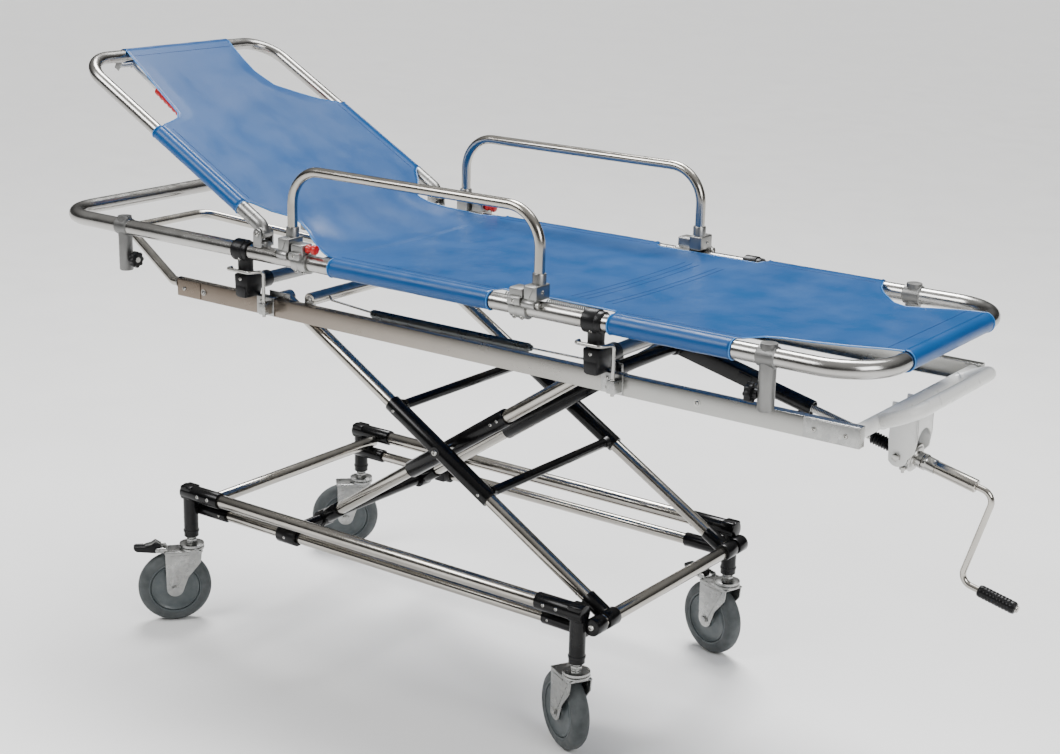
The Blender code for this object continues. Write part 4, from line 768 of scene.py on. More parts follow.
def bows():
    """Tube bow at the head end and the white handle at the foot end."""
    weld = Vector((RAIL_X0 - 0.0003, 0.235, 0.7085))
    knee, corner = weld - Vector((0.018, 0, 0)), Vector((-0.812, 0.112, 0.760))
    flip = Matrix.Diagonal((1, -1, 1))
    route = [flip @ weld, flip @ knee, flip @ corner, corner, knee, weld]
    parts = [("stainless", swept(route, 0.0095, (0.020, 0.045, 0.045, 0.020), 28))]
    for side in (NEAR, FAR):
        spot = Vector((weld.x, side * weld.y, weld.z))
        parts.append(("zinc", turned([(0.0090, 0.0), (0.0118, 0.0), (0.0098, 0.0045), (0.0090, 0.0045)],
                                     spot, (-1, 0, 0), 28)))
    piece("head_end_bow", "upper_frame", parts, ["head_bow"])

    outer = Vector((1.035, 0.205, 0.731))
    end = Vector((0.970, 0.145, 0.703))
    tube = bar((0.970, -0.2257, 0.703), (0.970, 0.2257, 0.703), 0.0125, 40)
    bow = swept([flip @ end, flip @ outer, outer, end], 0.0120, 0.036, 32)
    outline = [(0.938, 0.7025), (0.987, 0.7025), (0.987, 0.640), (0.984, 0.620)]
    outline += arc(0.954, 0.609, 0.018, -10, -150, 10) + [(0.936, 0.640)]
    parts = [("white", tube), ("white", bow)]
    for hand in (-1, 1):
        parts.append(("white", plate(outline, 0.004, upright(hand * 0.029), 0.0012)))
        parts.append(("bolt", bar((0.954, hand * 0.036, 0.609), (0.954, hand * 0.0215, 0.609), 0.005, 24)))
        parts.append(("bolt", hexagon((0.954, hand * 0.0311, 0.609), (0, hand, 0), 0.0130, 0.0055)))
        heading = (outer - end if hand > 0 else flip @ (outer - end)).normalized()
        spot = end if hand > 0 else flip @ end
        parts.append(("white", turned([(0.0118, 0.0110), (0.0140, 0.0110), (0.0132, 0.0150), (0.0118, 0.0160)],
                                      spot, heading, 32)))
    cross = Matrix(((0, 0, 1, 0.985), (1, 0, 0, 0), (0, 1, 0, 0), (0, 0, 0, 1)))
    arch = [(-0.031, 0.640)] + arc(0.0, 0.6305, 0.0280, 160, 20, 16)
    arch += [(0.031, 0.640), (0.031, 0.7025), (-0.031, 0.7025)]
    parts.append(("white", plate(arch, 0.004, cross, 0.001)))
    piece("white_handle", "upper_frame", parts, ["push_handle"])


def saddles_and_latches():
    """Cross tubes with moulded saddles, and the wire latches."""
    for end in (HEAD, FOOT):
        x = SADDLE_X[end]
        parts = [("casting", bar((x, -0.250, SADDLE_Z), (x, 0.250, SADDLE_Z), 0.0125, 36))]
        for side in (NEAR, FAR):
            parts.append(("plastic",
                          bar((x, side * 0.204, SADDLE_Z), (x, side * 0.250, SADDLE_Z), 0.0165, 36, 0.0015)))
            outline = [(x - 0.0125, 0.7183), (x + 0.0125, 0.7183), (x + 0.0165, 0.738), (x + 0.0180, 0.7655),
                       (x - 0.0180, 0.7655), (x - 0.0165, 0.738)]
            parts.append(("plastic", plate(outline, 0.044, upright(side * 0.2585), 0.0045)))
            parts.append(("plastic", plate([(x - 0.012, 0.722), (x + 0.012, 0.722), (x + 0.014, 0.742),
                                            (x - 0.014, 0.742)],
                                           0.0010, upright(side * 0.2806), 0.0004)))
            parts.append(("bolt", screw_head((x, side * 0.2804, 0.7560), (0, side, 0), 0.0036, 0.0020)))
        piece(f"saddle_{END[end]}", "upper_frame", parts, [f"support_saddle_{END[end]}"])
        for side in (NEAR, FAR):
            bx, y, outside, top, tip = BAIL_X[end], side * 0.262, side * 0.289, 0.774, x - 0.027
            route = [(bx, y, 0.6850), (bx, y, top), (bx - 0.012, outside, top), (tip, outside, top),
                     (tip, outside - side * 0.014, top)]
            wire = swept(route, 0.0034, 0.007, 18, 15)
            stop = turned([(0.0, 0.0), (0.0048, 0.0), (0.0048, 0.002), (0.0, 0.0022)], (bx, y, 0.7128),
                          (0, 0, 1), 20)
            tag = f"{END[end]}_{SIDE[side]}"
            piece(f"latch_wire_{tag}", f"bail_{tag}", [("bolt", wire), ("bolt", stop)], [f"wire_bail_{tag}"])


# ---------------------------------------------------------------- jack and crank
def jack_and_crank():
    """Jack casing, screw with bellows and gear block, cranked shaft and its grip."""
    along = (GEAR_PIN - JACK_PIN).normalized()
    drop = Vector((along.z, 0.0, -along.x))
    tilt = Matrix.Translation(JACK_PIN) @ Matrix.Rotation(math.asin(-along.z), 4, "Y")
    casing = moved(block((0.004, -0.0145, -0.0145), (0.176, 0.0145, 0.0145), 0.003), tilt)
    sleeve = turned([(0.0115, 0.0), (0.0138, 0.0), (0.0138, 0.121), (0.0130, 0.122), (0.0115, 0.122)],
                    JACK_PIN + along * 0.160, along)
    eye = turned([(0.0123, 0.0), (0.0155, 0.0), (0.016, 0.001), (0.016, 0.039), (0.0155, 0.040),
                  (0.0123, 0.040)],
                 JACK_PIN - Vector((0, 0.020, 0)), (0, 1, 0))
    parts = [("black", casing), ("black", sleeve), ("black", eye)]
    for reach in (0.168, 0.262):
        spot = JACK_PIN + along * reach + drop * (0.0145 if reach < 0.2 else 0.0136)
        parts.append(("black", hexagon(spot, drop, 0.011, 0.006)))
    for side in (NEAR, FAR):
        lug = moved(block((0.135, side * 0.0143, -0.010), (0.162, side * 0.0165, 0.010), 0.0008), tilt)
        parts.append(("black", lug))
    piece("jack_casing", "jack_tube", parts, ["jack_tube"])

    screw = [(0.0, -0.325)]
    for turn in range(86):
        height = -0.324 + turn * 0.003
        screw += [(0.0060, height), (0.0070, height + 0.0010), (0.0070, height + 0.0016),
                  (0.0060, height + 0.0026)]
    screw += [(0.0060, -0.062), (0.0, -0.062)]
    bellows = [(0.0, -0.064)]
    for fold in range(9):
        height = -0.063 + fold * 0.0052
        bellows += [(0.0088, height), (0.0116, height + 0.0026)]
    bellows += [(0.0090, -0.0165), (0.0, -0.0165)]
    housing = [(0.0, 0.0), (0.0165, 0.012), (0.0165, 0.0168), (0.0252, 0.0170), (0.0262, 0.0180),
               (0.0262, 0.0210), (0.0250, 0.0222), (0.0215, 0.0226), (0.0205, 0.0250), (0.0140, 0.0262),
               (0.0140, 0.0350), (0.0, 0.0355)]
    parts = [("bolt", turned(screw, GEAR_PIN, along, 20)), ("plastic", turned(bellows, GEAR_PIN, along, 32)),
             ("zinc", block(GEAR_PIN - Vector((0.017, 0.0255, 0.017)),
                            GEAR_PIN + Vector((0.017, 0.0255, 0.017)), 0.004)),
             ("bolt", turned(housing, GEAR_PIN, along, 56)),
             ("bolt", hexagon((0.962, -0.021, 0.5915), (0, 0, -1), 0.0110, 0.0060)),
             ("bolt", bar((0.962, -0.021, 0.594), (0.962, -0.021, 0.580), 0.0028, 16))]
    piece("screw_and_gears", "jack_screw", parts, ["jack_screw"])

    elbow = GEAR_PIN + along * 0.160 + drop * 0.1685
    rod = swept([GEAR_PIN + along * 0.120, GEAR_PIN + along * 0.168, elbow, elbow + along * 0.108], 0.0055,
                (0.020, 0.020), 24)
    flange = turned([(0.0, 0.0363), (0.0138, 0.0363), (0.0142, 0.0370), (0.0142, 0.0420), (0.0134, 0.0430),
                     (0.0126, 0.0440), (0.0124, 0.0600), (0.0, 0.0600)], GEAR_PIN, along, 48)
    tube = turned([(0.0, 0.0600), (0.0108, 0.0600), (0.0108, 0.0608), (0.0116, 0.0612), (0.0116, 0.1335),
                   (0.0104, 0.1350), (0.0, 0.1350)], GEAR_PIN, along, 40)
    parts = [("bolt", flange), ("stainless", tube), ("stainless", rod)]
    parts.append(("bolt", screw_head(elbow + along * 0.1042, along, 0.0062, 0.0035)))
    parts.append(("bolt",
                  screw_head(GEAR_PIN + along * 0.124 + Vector((0, -0.0098, 0)), (0, -1, 0), 0.0030, 0.0018)))
    piece("cranked_shaft", "crank", parts, ["crank"])

    grip = [(0.0058, 0.0), (0.0088, 0.0), (0.0100, 0.0015), (0.0106, 0.004)]
    for rib in range(9):
        height = 0.008 + rib * 0.006
        grip += [(0.0110, height), (0.0104, height + 0.0010), (0.0104, height + 0.0022),
                 (0.0110, height + 0.0032)]
    grip += [(0.0108, 0.0640), (0.0098, 0.0672), (0.0085, 0.0680), (0.0058, 0.0680)]
    piece("turning_grip", "crank_grip", [("plastic", turned(grip, elbow + along * 0.036, along, 40))],
          ["crank_grip"])


# ---------------------------------------------------------------- stretcher
def stretcher_loops():
    """Both halves of the stretcher's loop with stubs, saddle rings and hinge ears."""
    for end, far_x in ((HEAD, -0.853), (FOOT, 1.008)):
        split = LOOP_SPLIT_X + end * 0.00015
        route = [(split, -TUBE_Y, TUBE_Z), (far_x, -TUBE_Y, TUBE_Z), (far_x, TUBE_Y, TUBE_Z),
                 (split, TUBE_Y, TUBE_Z)]
        parts = [("tube", swept(route, TUBE_R, 0.095, 40, 6))]
        stub_x = STUB_X[end]
        for side in (NEAR, FAR):
            y, x = side * TUBE_Y, SADDLE_X[end]
            stub = turned([(0.0, 0.721), (0.0126, 0.721), (0.0140, 0.7225), (0.0140, 0.7900), (0.0146, 0.7960),
                           (0.0146, 0.8280), (0.0138, 0.8325), (0.0, 0.8335)], (stub_x, y, 0), (0, 0, 1))
            parts.append(("rough_stub", stub))
            weld = turned([(0.0150, -0.0175), (0.0178, -0.0150), (0.0178, 0.0150), (0.0150, 0.0175)],
                          (stub_x, y, TUBE_Z), (1, 0, 0))
            parts.append(("rough_stub", weld))
            ring = turned([(0.0157, -0.018), (0.0205, -0.018), (0.0214, -0.0172), (0.0214, 0.0070),
                           (0.0205, 0.0080),
                           (0.0192, 0.0090), (0.0192, 0.0172), (0.0184, 0.018), (0.0157, 0.018)],
                          (x, y, TUBE_Z), (1, 0, 0), 48)
            neck = turned([(0.0, 0.7663), (0.0138, 0.7663), (0.0150, 0.7675), (0.0152, 0.7725),
                           (0.0146, 0.7740),
                           (0.0150, 0.7900), (0.0160, 0.8000), (0.0, 0.8030)],
                          (x, side * 0.2655, 0), (0, 0, 1), 36)
            parts += [("plastic", ring), ("plastic", neck)]
            parts.append(("bolt",
                          screw_head((x, y + side * 0.0150, TUBE_Z - 0.0150), (0, side, -1), 0.0034, 0.0022)))
            if end == HEAD:
                parts.append(("casting", block((-0.279, side * BACK_Y - 0.018, 0.8245),
                                               (-0.257, side * BACK_Y + 0.018, 0.832), 0.0025)))
                parts.append(("casting", turned([(0.0, 0.820), (0.0150, 0.820), (0.0150, 0.8300),
                                                 (0.0130, 0.8350), (0.0, 0.8365)],
                                                (-0.268, side * BACK_Y, 0), (0, 0, 1), 36)))
                for offset in (-0.0160, 0.0160):
                    ear = [(-0.278, 0.825), (-0.258, 0.825)] + arc(-0.268, 0.851, 0.010, 0, 180, 10)
                    parts.append(("casting", plate(ear, 0.004, upright(side * BACK_Y + offset), 0.0008)))
                for hand in (-1, 1):
                    parts.append(("bolt", screw_head((-0.268, side * BACK_Y + hand * 0.0180, 0.851),
                                                     (0, hand, 0), 0.0060, 0.0028)))
        piece(f"loop_tube_{END[end]}", "stretcher", parts, [f"stretcher_frame_{END[end]}"], 45)


def star_knobs():
    """Star knobs on the four stubs."""
    for end, side in CORNERS:
        stub_x = STUB_X[end]
        start = Vector((stub_x - end * 0.0143, side * TUBE_Y, 0.746))
        inward = Vector((-end, 0, 0))
        outline = []
        for step in range(48):
            angle = math.tau * step / 48
            radius = 0.0158 + 0.0017 * math.cos(8 * angle)
            outline.append((radius * math.cos(angle), radius * math.sin(angle)))
        star = plate(outline, 0.013, Matrix.Translation(start + inward * 0.014) @ turn_to(inward), 0.0022)
        hub = turned([(0.0, 0.0), (0.0075, 0.0), (0.0085, 0.008), (0.0, 0.008)], start, inward, 28)
        cap = turned([(0.0, 0.0), (0.0060, 0.0), (0.0055, 0.0010), (0.0, 0.0012)], start + inward * 0.0204,
                     inward, 28)
        tag = f"{END[end]}_{SIDE[side]}"
        piece(f"star_knob_{tag}", f"knob_{tag}", [("plastic", star), ("plastic", hub), ("bolt", cap)],
              [f"foot_knob_{tag}"])


def side_rails():
    """Rail clamps, side rails and their red release pulls."""
    for side in (NEAR, FAR):
        for index, x in enumerate(RAIL_CLAMP_X):
            y, post = side * TUBE_Y, RAIL_POST_X[index]
            outward = 1 if post > x else -1
            collar = [(0.0158, -0.017), (0.0196, -0.017), (0.0205, -0.016), (0.0205, -0.0015), (0.0198, -0.0008),
                      (0.0198, 0.0008), (0.0205, 0.0015), (0.0205, 0.016), (0.0196, 0.017), (0.0158, 0.017)]
            ring = turned(collar, (x, y, TUBE_Z), (1, 0, 0), 48)
            parts = [("casting", ring),
                     ("casting", block((x - 0.0145, side * 0.260, 0.8262),
                                       (x + 0.0145, side * RAIL_HINGE_Y, 0.848), 0.003, 4)),
                     ("casting",
                      block((x - 0.0136, side * 0.266, 0.819), (x + 0.0136, side * 0.298, 0.834), 0.003, 4)),
                     ("bolt", bar((x, side * RAIL_HINGE_Y, RAIL_HINGE_Z),
                                  (post + outward * 0.0190, side * RAIL_HINGE_Y, RAIL_HINGE_Z), 0.0038, 24)),
                     ("bolt", screw_head((post + outward * 0.0180, side * RAIL_HINGE_Y, RAIL_HINGE_Z),
                                         (outward, 0, 0), 0.0062, 0.0024)),
                     ("bolt", screw_head((x, side * 0.2975, 0.8265), (0, side, 0), 0.0040, 0.0024))]
            for offset in (-0.008, 0.008):
                spot = (x + offset, side * (TUBE_Y + 0.0120), TUBE_Z - 0.0162)
                parts.append(("bolt", screw_head(spot, (0, side * 0.6, -0.8), 0.0042, 0.0036)))
            name = f"rail_clamp_{'head' if index == 0 else 'foot'}_{SIDE[side]}"
            piece("cast_" + name, "stretcher", parts, [name])
        y = side * 0.264
        route = [(RAIL_POST_X[0], y, 0.843), (RAIL_POST_X[0], y, 0.984), (RAIL_POST_X[1], y, 0.984),
                 (RAIL_POST_X[1], y, 0.843)]
        parts = [("stainless", swept(route, 0.0095, 0.068, 32, 6))]
        for x in RAIL_POST_X:
            outward = 1 if x > 0 else -1
            ferrule = [(0.0096, 0.0), (0.0124, 0.0), (0.0124, 0.0235), (0.0116, 0.0252), (0.0096, 0.0255)]
            parts.append(("casting", turned(ferrule, (x, y, 0.8485), (0, 0, 1), 36)))
            parts.append(("casting", block((x - 0.0135, side * 0.249, 0.8285),
                                           (x + 0.0135, side * 0.292, 0.856), 0.0032, 4)))
            knuckle = [(0.0041, -0.0129), (0.0078, -0.0129), (0.0085, -0.0120), (0.0085, 0.0120),
                       (0.0078, 0.0129), (0.0041, 0.0129)]
            spot = (x, side * RAIL_HINGE_Y, RAIL_HINGE_Z)
            parts.append(("casting", turned(knuckle, spot, (1, 0, 0), 36)))
            rib = [(x - 0.0085, 0.8540), (x + 0.0085, 0.8540), (x, 0.8340)]
            parts.append(("casting", plate(rib, 0.0016, upright(side * 0.2926), 0.0005)))
            parts.append(("bolt", screw_head((x + outward * 0.0133, side * 0.272, 0.8430), (outward, 0, 0),
                                             0.0038, 0.0022)))
        piece(f"safety_rail_{SIDE[side]}", f"side_rail_{SIDE[side]}", parts, [f"side_rail_{SIDE[side]}"])
        face = RAIL_CLAMP_X[0] + 0.0148
        knob = turned([(0.0, 0.0), (0.0070, 0.0), (0.0082, 0.0012), (0.0085, 0.0040), (0.0062, 0.0085),
                       (0.0064, 0.0120),
                       (0.0090, 0.0155), (0.0093, 0.0190), (0.0085, 0.0222), (0.0060, 0.0238), (0.0, 0.0242)],
                      (face, side * 0.275, 0.840), (1, 0, 0), 36)
        pin = bar((RAIL_POST_X[0] + 0.0138, side * 0.275, 0.840), (face + 0.010, side * 0.275, 0.840), 0.003,
                  20)
        piece(f"red_pull_{SIDE[side]}", f"plunger_{SIDE[side]}", [("red", knob), ("bolt", pin)],
              [f"rail_plunger_{SIDE[side]}"])


# ---------------------------------------------------------------- backrest
UP = (BACK_TOP - BACK_HINGE).normalized()
OVER = Vector((UP.z, 0.0, -UP.x))
BACK_LENGTH = (BACK_TOP - BACK_HINGE).length
BACK_PLANE = Matrix(((0, UP.x, OVER.x, BACK_HINGE.x), (1, 0, 0, 0), (0, UP.z, OVER.z, BACK_HINGE.z),
                     (0, 0, 0, 1)))


def backrest():
    """Backrest tube on its hinges, and the release bar."""
    near, far = Vector((0, -BACK_Y, 0)), Vector((0, BACK_Y, 0))
    foot = BACK_HINGE - Vector((0, 0, 0.004))
    knee = BACK_HINGE + Vector((0, 0, 0.010)) + UP * 0.006
    route = [foot + near, knee + near, BACK_TOP + near, BACK_TOP + far, knee + far, foot + far]
    parts = [("tube", swept(route, BACK_R, (0.0165, 0.070, 0.070, 0.0165), 40, 6))]
    for side in (near, far):
        elbow = swept([foot + side, knee + side, knee + side + UP * 0.058], 0.0139, 0.0165, 36, 6)
        parts.append(("casting", elbow))
        for reach in (0.020, 0.050):
            band = [(0.0136, 0.0), (0.0144, 0.0005), (0.0144, 0.0035), (0.0136, 0.0040)]
            parts.append(("casting", turned(band, knee + side + UP * reach, UP, 36)))
        lug = block((side.y + (0.1056 if side.y < 0 else -0.1080), BACK_LENGTH - 0.007, -0.032),
                    (side.y + (0.1080 if side.y < 0 else -0.1030), BACK_LENGTH + 0.007, -0.006), 0.0012)
        parts.append(("casting", moved(lug, BACK_PLANE)))
        eye = [(0.0043, -0.0136), (0.0120, -0.0136), (0.0125, -0.013), (0.0125, 0.013),
               (0.0120, 0.0136), (0.0043, 0.0136)]
        parts.append(("casting", turned(eye, BACK_HINGE + side, (0, 1, 0), 36)))
    piece("back_tube", "backrest", parts, ["backrest_frame"], 45)

    hook, low, reach = -0.0245, BACK_LENGTH - 0.215, 0.115
    corners = [(-reach, BACK_LENGTH, hook), (-reach, low, -0.034), (reach, low, -0.034),
               (reach, BACK_LENGTH, hook)]
    parts = [("white", swept([BACK_PLANE @ Vector(corner) for corner in corners], 0.004, 0.014, 20)),
             ("white", bar(BACK_PLANE @ Vector((-0.1537, BACK_LENGTH, hook)),
                           BACK_PLANE @ Vector((0.1537, BACK_LENGTH, hook)), 0.0045, 28))]
    for side in (NEAR, FAR):
        start = BACK_PLANE @ Vector((side * reach, BACK_LENGTH - 0.086, -0.0283))
        end = BACK_PLANE @ Vector((side * reach, BACK_LENGTH - 0.176, -0.0323))
        grip = [(0.0, 0.0), (0.0075, 0.0), (0.0088, 0.0020)]
        for rib in range(6):
            height = 0.006 + rib * 0.0135
            grip += [(0.0090, height), (0.0090, height + 0.0030), (0.0072, height + 0.0075),
                     (0.0090, height + 0.0120)]
        grip += [(0.0088, 0.0885), (0.0070, 0.0900), (0.0, 0.0900)]
        parts.append(("red", turned(grip, start, end - start, 32)))
        bush = [(0.0044, 0.0), (0.0066, 0.0), (0.0066, 0.008), (0.0044, 0.008)]
        spot = BACK_PLANE @ Vector((side * reach - 0.004, BACK_LENGTH, hook))
        parts.append(("white", turned(bush, spot, (0, 1, 0), 24)))
    piece("release_wire", "release_bar", parts, ["backrest_release_bar"])


# ---------------------------------------------------------------- canvas
SKIN = 0.0014
SEAT_TOP = TUBE_Z + TUBE_R + SKIN
SEAT_EDGE = {
    NEAR: [(1.027, 0.153), (0.969, 0.164), (0.922, 0.174), (0.865, 0.183), (0.812, 0.198), (0.790, 0.212),
           (0.780, 0.238), (0.772, 0.262), (0.767, 0.268), (0.532, 0.268), (0.526, 0.2405), (0.288, 0.2405),
           (0.283, 0.268), (-0.084, 0.268), (-0.090, 0.262), (-0.100, 0.262)],
    FAR: [(1.017, 0.165), (0.930, 0.150), (0.872, 0.140), (0.844, 0.152), (0.802, 0.199), (0.785, 0.225),
          (0.776, 0.250), (0.770, 0.268), (0.531, 0.268), (0.525, 0.2420), (0.300, 0.2420), (0.292, 0.268),
          (-0.084, 0.268), (-0.090, 0.262), (-0.100, 0.262)]}
HIP_EDGE = [(0.0, 0.262), (0.16, 0.245), (0.35, 0.225), (0.50, 0.205), (0.65, 0.186), (0.80, 0.180),
            (0.90, 0.190), (1.0, 0.222)]
BACK_EDGE = {
    NEAR: [(0.030, 0.222), (0.060, 0.245), (0.072, 0.262), (0.321, 0.262), (0.327, 0.245), (0.333, 0.222),
           (0.342, 0.199), (0.357, 0.185), (0.383, 0.179), (0.433, 0.170), (0.495, 0.159),
           (0.537, 0.154), (0.571, 0.148)],
    FAR: [(0.030, 0.222), (0.060, 0.245), (0.072, 0.262), (0.310, 0.262), (0.322, 0.238), (0.339, 0.210),
          (0.366, 0.179), (0.406, 0.139), (0.460, 0.127), (0.504, 0.130), (0.542, 0.136), (0.571, 0.144)]}
FOOT_X = 1.008


def tube_rise(v):
    """How far the back tubes stand out of the plane through hinge and top tube."""
    return 0.0087 * max(0.0, BACK_LENGTH - v) / 0.560


HIP_FROM, HIP_CORNER = Vector((-0.100, 0, SEAT_TOP)), Vector((-0.194, 0, SEAT_TOP))
HIP_TO = BACK_PLANE @ Vector((0, 0.030, BACK_R + SKIN + tube_rise(0.030)))
SEAT_RUN, HIP_RUN, BACK_RUN = FOOT_X - HIP_FROM.x, 0.205, BACK_LENGTH - 0.030
TOTAL_RUN = SEAT_RUN + HIP_RUN + BACK_RUN


def between(table, value):
    """Straight-line reading of a table of (position, amount)."""
    table = sorted(table)
    if value <= table[0][0]:
        return table[0][1]
    for (p0, a0), (p1, a1) in zip(table, table[1:]):
        if value <= p1:
            return a0 + (a1 - a0) * (value - p0) / (p1 - p0)
    return table[-1][1]


def canvas_spot(run, side):
    """Middle of the canvas, the direction out of it and its half width, a distance from the foot end."""
    if run <= SEAT_RUN:
        x = FOOT_X - run
        return Vector((x, 0, SEAT_TOP)), Vector((0, 0, 1)), between(SEAT_EDGE[side], x)
    if run <= SEAT_RUN + HIP_RUN:
        t = (run - SEAT_RUN) / HIP_RUN
        spot = HIP_FROM * (1 - t) ** 2 + HIP_CORNER * 2 * t * (1 - t) + HIP_TO * t ** 2
        tangent = ((HIP_CORNER - HIP_FROM) * (1 - t) + (HIP_TO - HIP_CORNER) * t).normalized()
        return spot, Vector((tangent.z, 0, -tangent.x)), between(HIP_EDGE, t)
    v = 0.030 + run - SEAT_RUN - HIP_RUN
    return BACK_PLANE @ Vector((0, v, BACK_R + SKIN + tube_rise(v))), OVER, between(BACK_EDGE[side], v)


def canvas_point(run, t):
    """A point of the canvas: along its run, and from -1 at the near edge to 1 at the far edge."""
    spot, out, half = canvas_spot(run, NEAR if t < 0 else FAR)
    y = t * half
    free = 1.0 - min(1.0, abs(y) / 0.262) ** 2
    ends = min(1.0, run / 0.16) * min(1.0, (TOTAL_RUN - run) / 0.16)
    ends = ends * ends * (3 - 2 * ends)
    slack = 0.008 if run < SEAT_RUN else 0.005
    slack += (0.003 if abs(t) > 0.8 and half < 0.25 else 0.0) * (abs(t) - 0.8) * 5
    ripple = noise.noise(Vector((spot.x * 7, y * 4 + 3.0, spot.z * 7))) * 0.0008
    ripple += noise.noise(Vector((spot.x * 22, y * 8, spot.z * 22 + 7.0))) * 0.0004
    hip = math.exp(-((run - SEAT_RUN - 0.09) / 0.085) ** 2)
    ripple += hip * 0.0026 * math.sin(y * 46 + 5 * noise.noise(Vector((run * 8, y * 5, 1.0)))) * abs(t) ** 1.5
    return spot + Vector((0, y, 0)) + out * (ripple * ends * min(1.0, free * 4) - slack * free * ends), out


def canvas_sheet():
    """The sling between the tubes: a fine grid bent along its run, sagging and creased."""
    bm = bmesh.new()
    bmesh.ops.create_grid(bm, x_segments=340, y_segments=52, size=1.0)
    for vert in bm.verts:
        vert.co = canvas_point((vert.co.x + 1) / 2 * TOTAL_RUN, vert.co.y)[0]
    return bm


def wrap(start, end, radius, sweep, reference, rows=24):
    """Cloth carried round a tube: a line along the top of it, spun about the tube's axis."""
    start, end = Vector(start), Vector(end)
    axis = (end - start).normalized()
    bm = bmesh.new()
    count = max(8, int((end - start).length / 0.008))
    points = []
    for step in range(count + 1):
        spot = start.lerp(end, step / count)
        lift = radius + 0.0004 * noise.noise(spot * 40)
        points.append(bm.verts.new(spot + Vector(reference).normalized() * lift))
    for pair in zip(points, points[1:]):
        bm.edges.new(pair)
    bmesh.ops.spin(bm, geom=bm.verts[:] + bm.edges[:], cent=start, axis=axis, dvec=(0, 0, 0),
                   angle=math.radians(sweep), steps=rows, use_duplicate=False)
    return bm


def back_tube_spot(side, v):
    """A point on the backrest tube's line."""
    return BACK_PLANE @ Vector((side * BACK_Y, v, tube_rise(v)))


def canvas():
    """The sling with its sleeves round the tubes, as one sheet."""
    shapes = [canvas_sheet()]
    wall = TUBE_R + SKIN
    for side in (NEAR, FAR):
        for x0, x1 in ((-0.087, 0.285), (0.532, 0.768)):
            shapes.append(wrap((x0, side * TUBE_Y, TUBE_Z), (x1, side * TUBE_Y, TUBE_Z), wall, -side * 236,
                               (0, 0, 1)))
        low, high = back_tube_spot(side, 0.070), back_tube_spot(side, 0.322 if side == NEAR else 0.312)
        shapes.append(wrap(low, high, BACK_R + SKIN, side * 236, OVER))
    shapes.append(wrap((FOOT_X, -0.153, TUBE_Z), (FOOT_X, 0.165, TUBE_Z), wall, 235, (0, 0, 1)))
    top0, top1 = BACK_TOP + Vector((0, -0.148, 0)), BACK_TOP + Vector((0, 0.144, 0))
    shapes.append(wrap(top0, top1, BACK_R + SKIN, -240, OVER))
    whole = bmesh.new()
    for shape in shapes:
        holder = bpy.data.meshes.new("cloth_part")
        shape.to_mesh(holder)
        shape.free()
        whole.from_mesh(holder)
        bpy.data.meshes.remove(holder)
    bmesh.ops.translate(whole, vec=ORIGIN, verts=whole.verts)
    area = sum(face.calc_area() for face in whole.faces)
    mesh = bpy.data.meshes.new("canvas_sling")
    whole.to_mesh(mesh)
    whole.free()
    mesh.materials.append(FINISH["canvas"])
    mesh.shade_smooth()
    cloth = bpy.data.objects.new("canvas_sling", mesh)
    bpy.context.scene.collection.objects.link(cloth)
    thick = cloth.modifiers.new("cloth thickness", "SOLIDIFY")
    thick.thickness = 0.0012
    thick.offset = 0.0
    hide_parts("seat_cover", "backrest_cover")
    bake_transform(cloth)


def row_of_stitches(points, lift):
    """Short threads laid along a line of (point, outward) pairs."""
    made = []
    for (start, out), (end, _) in zip(points, points[1:]):
        a, b = start.lerp(end, 0.14), start.lerp(end, 0.80)
        made.append(("thread", bar(a + out * lift, b + out * lift, 0.00050, 5, 0)))
    return made


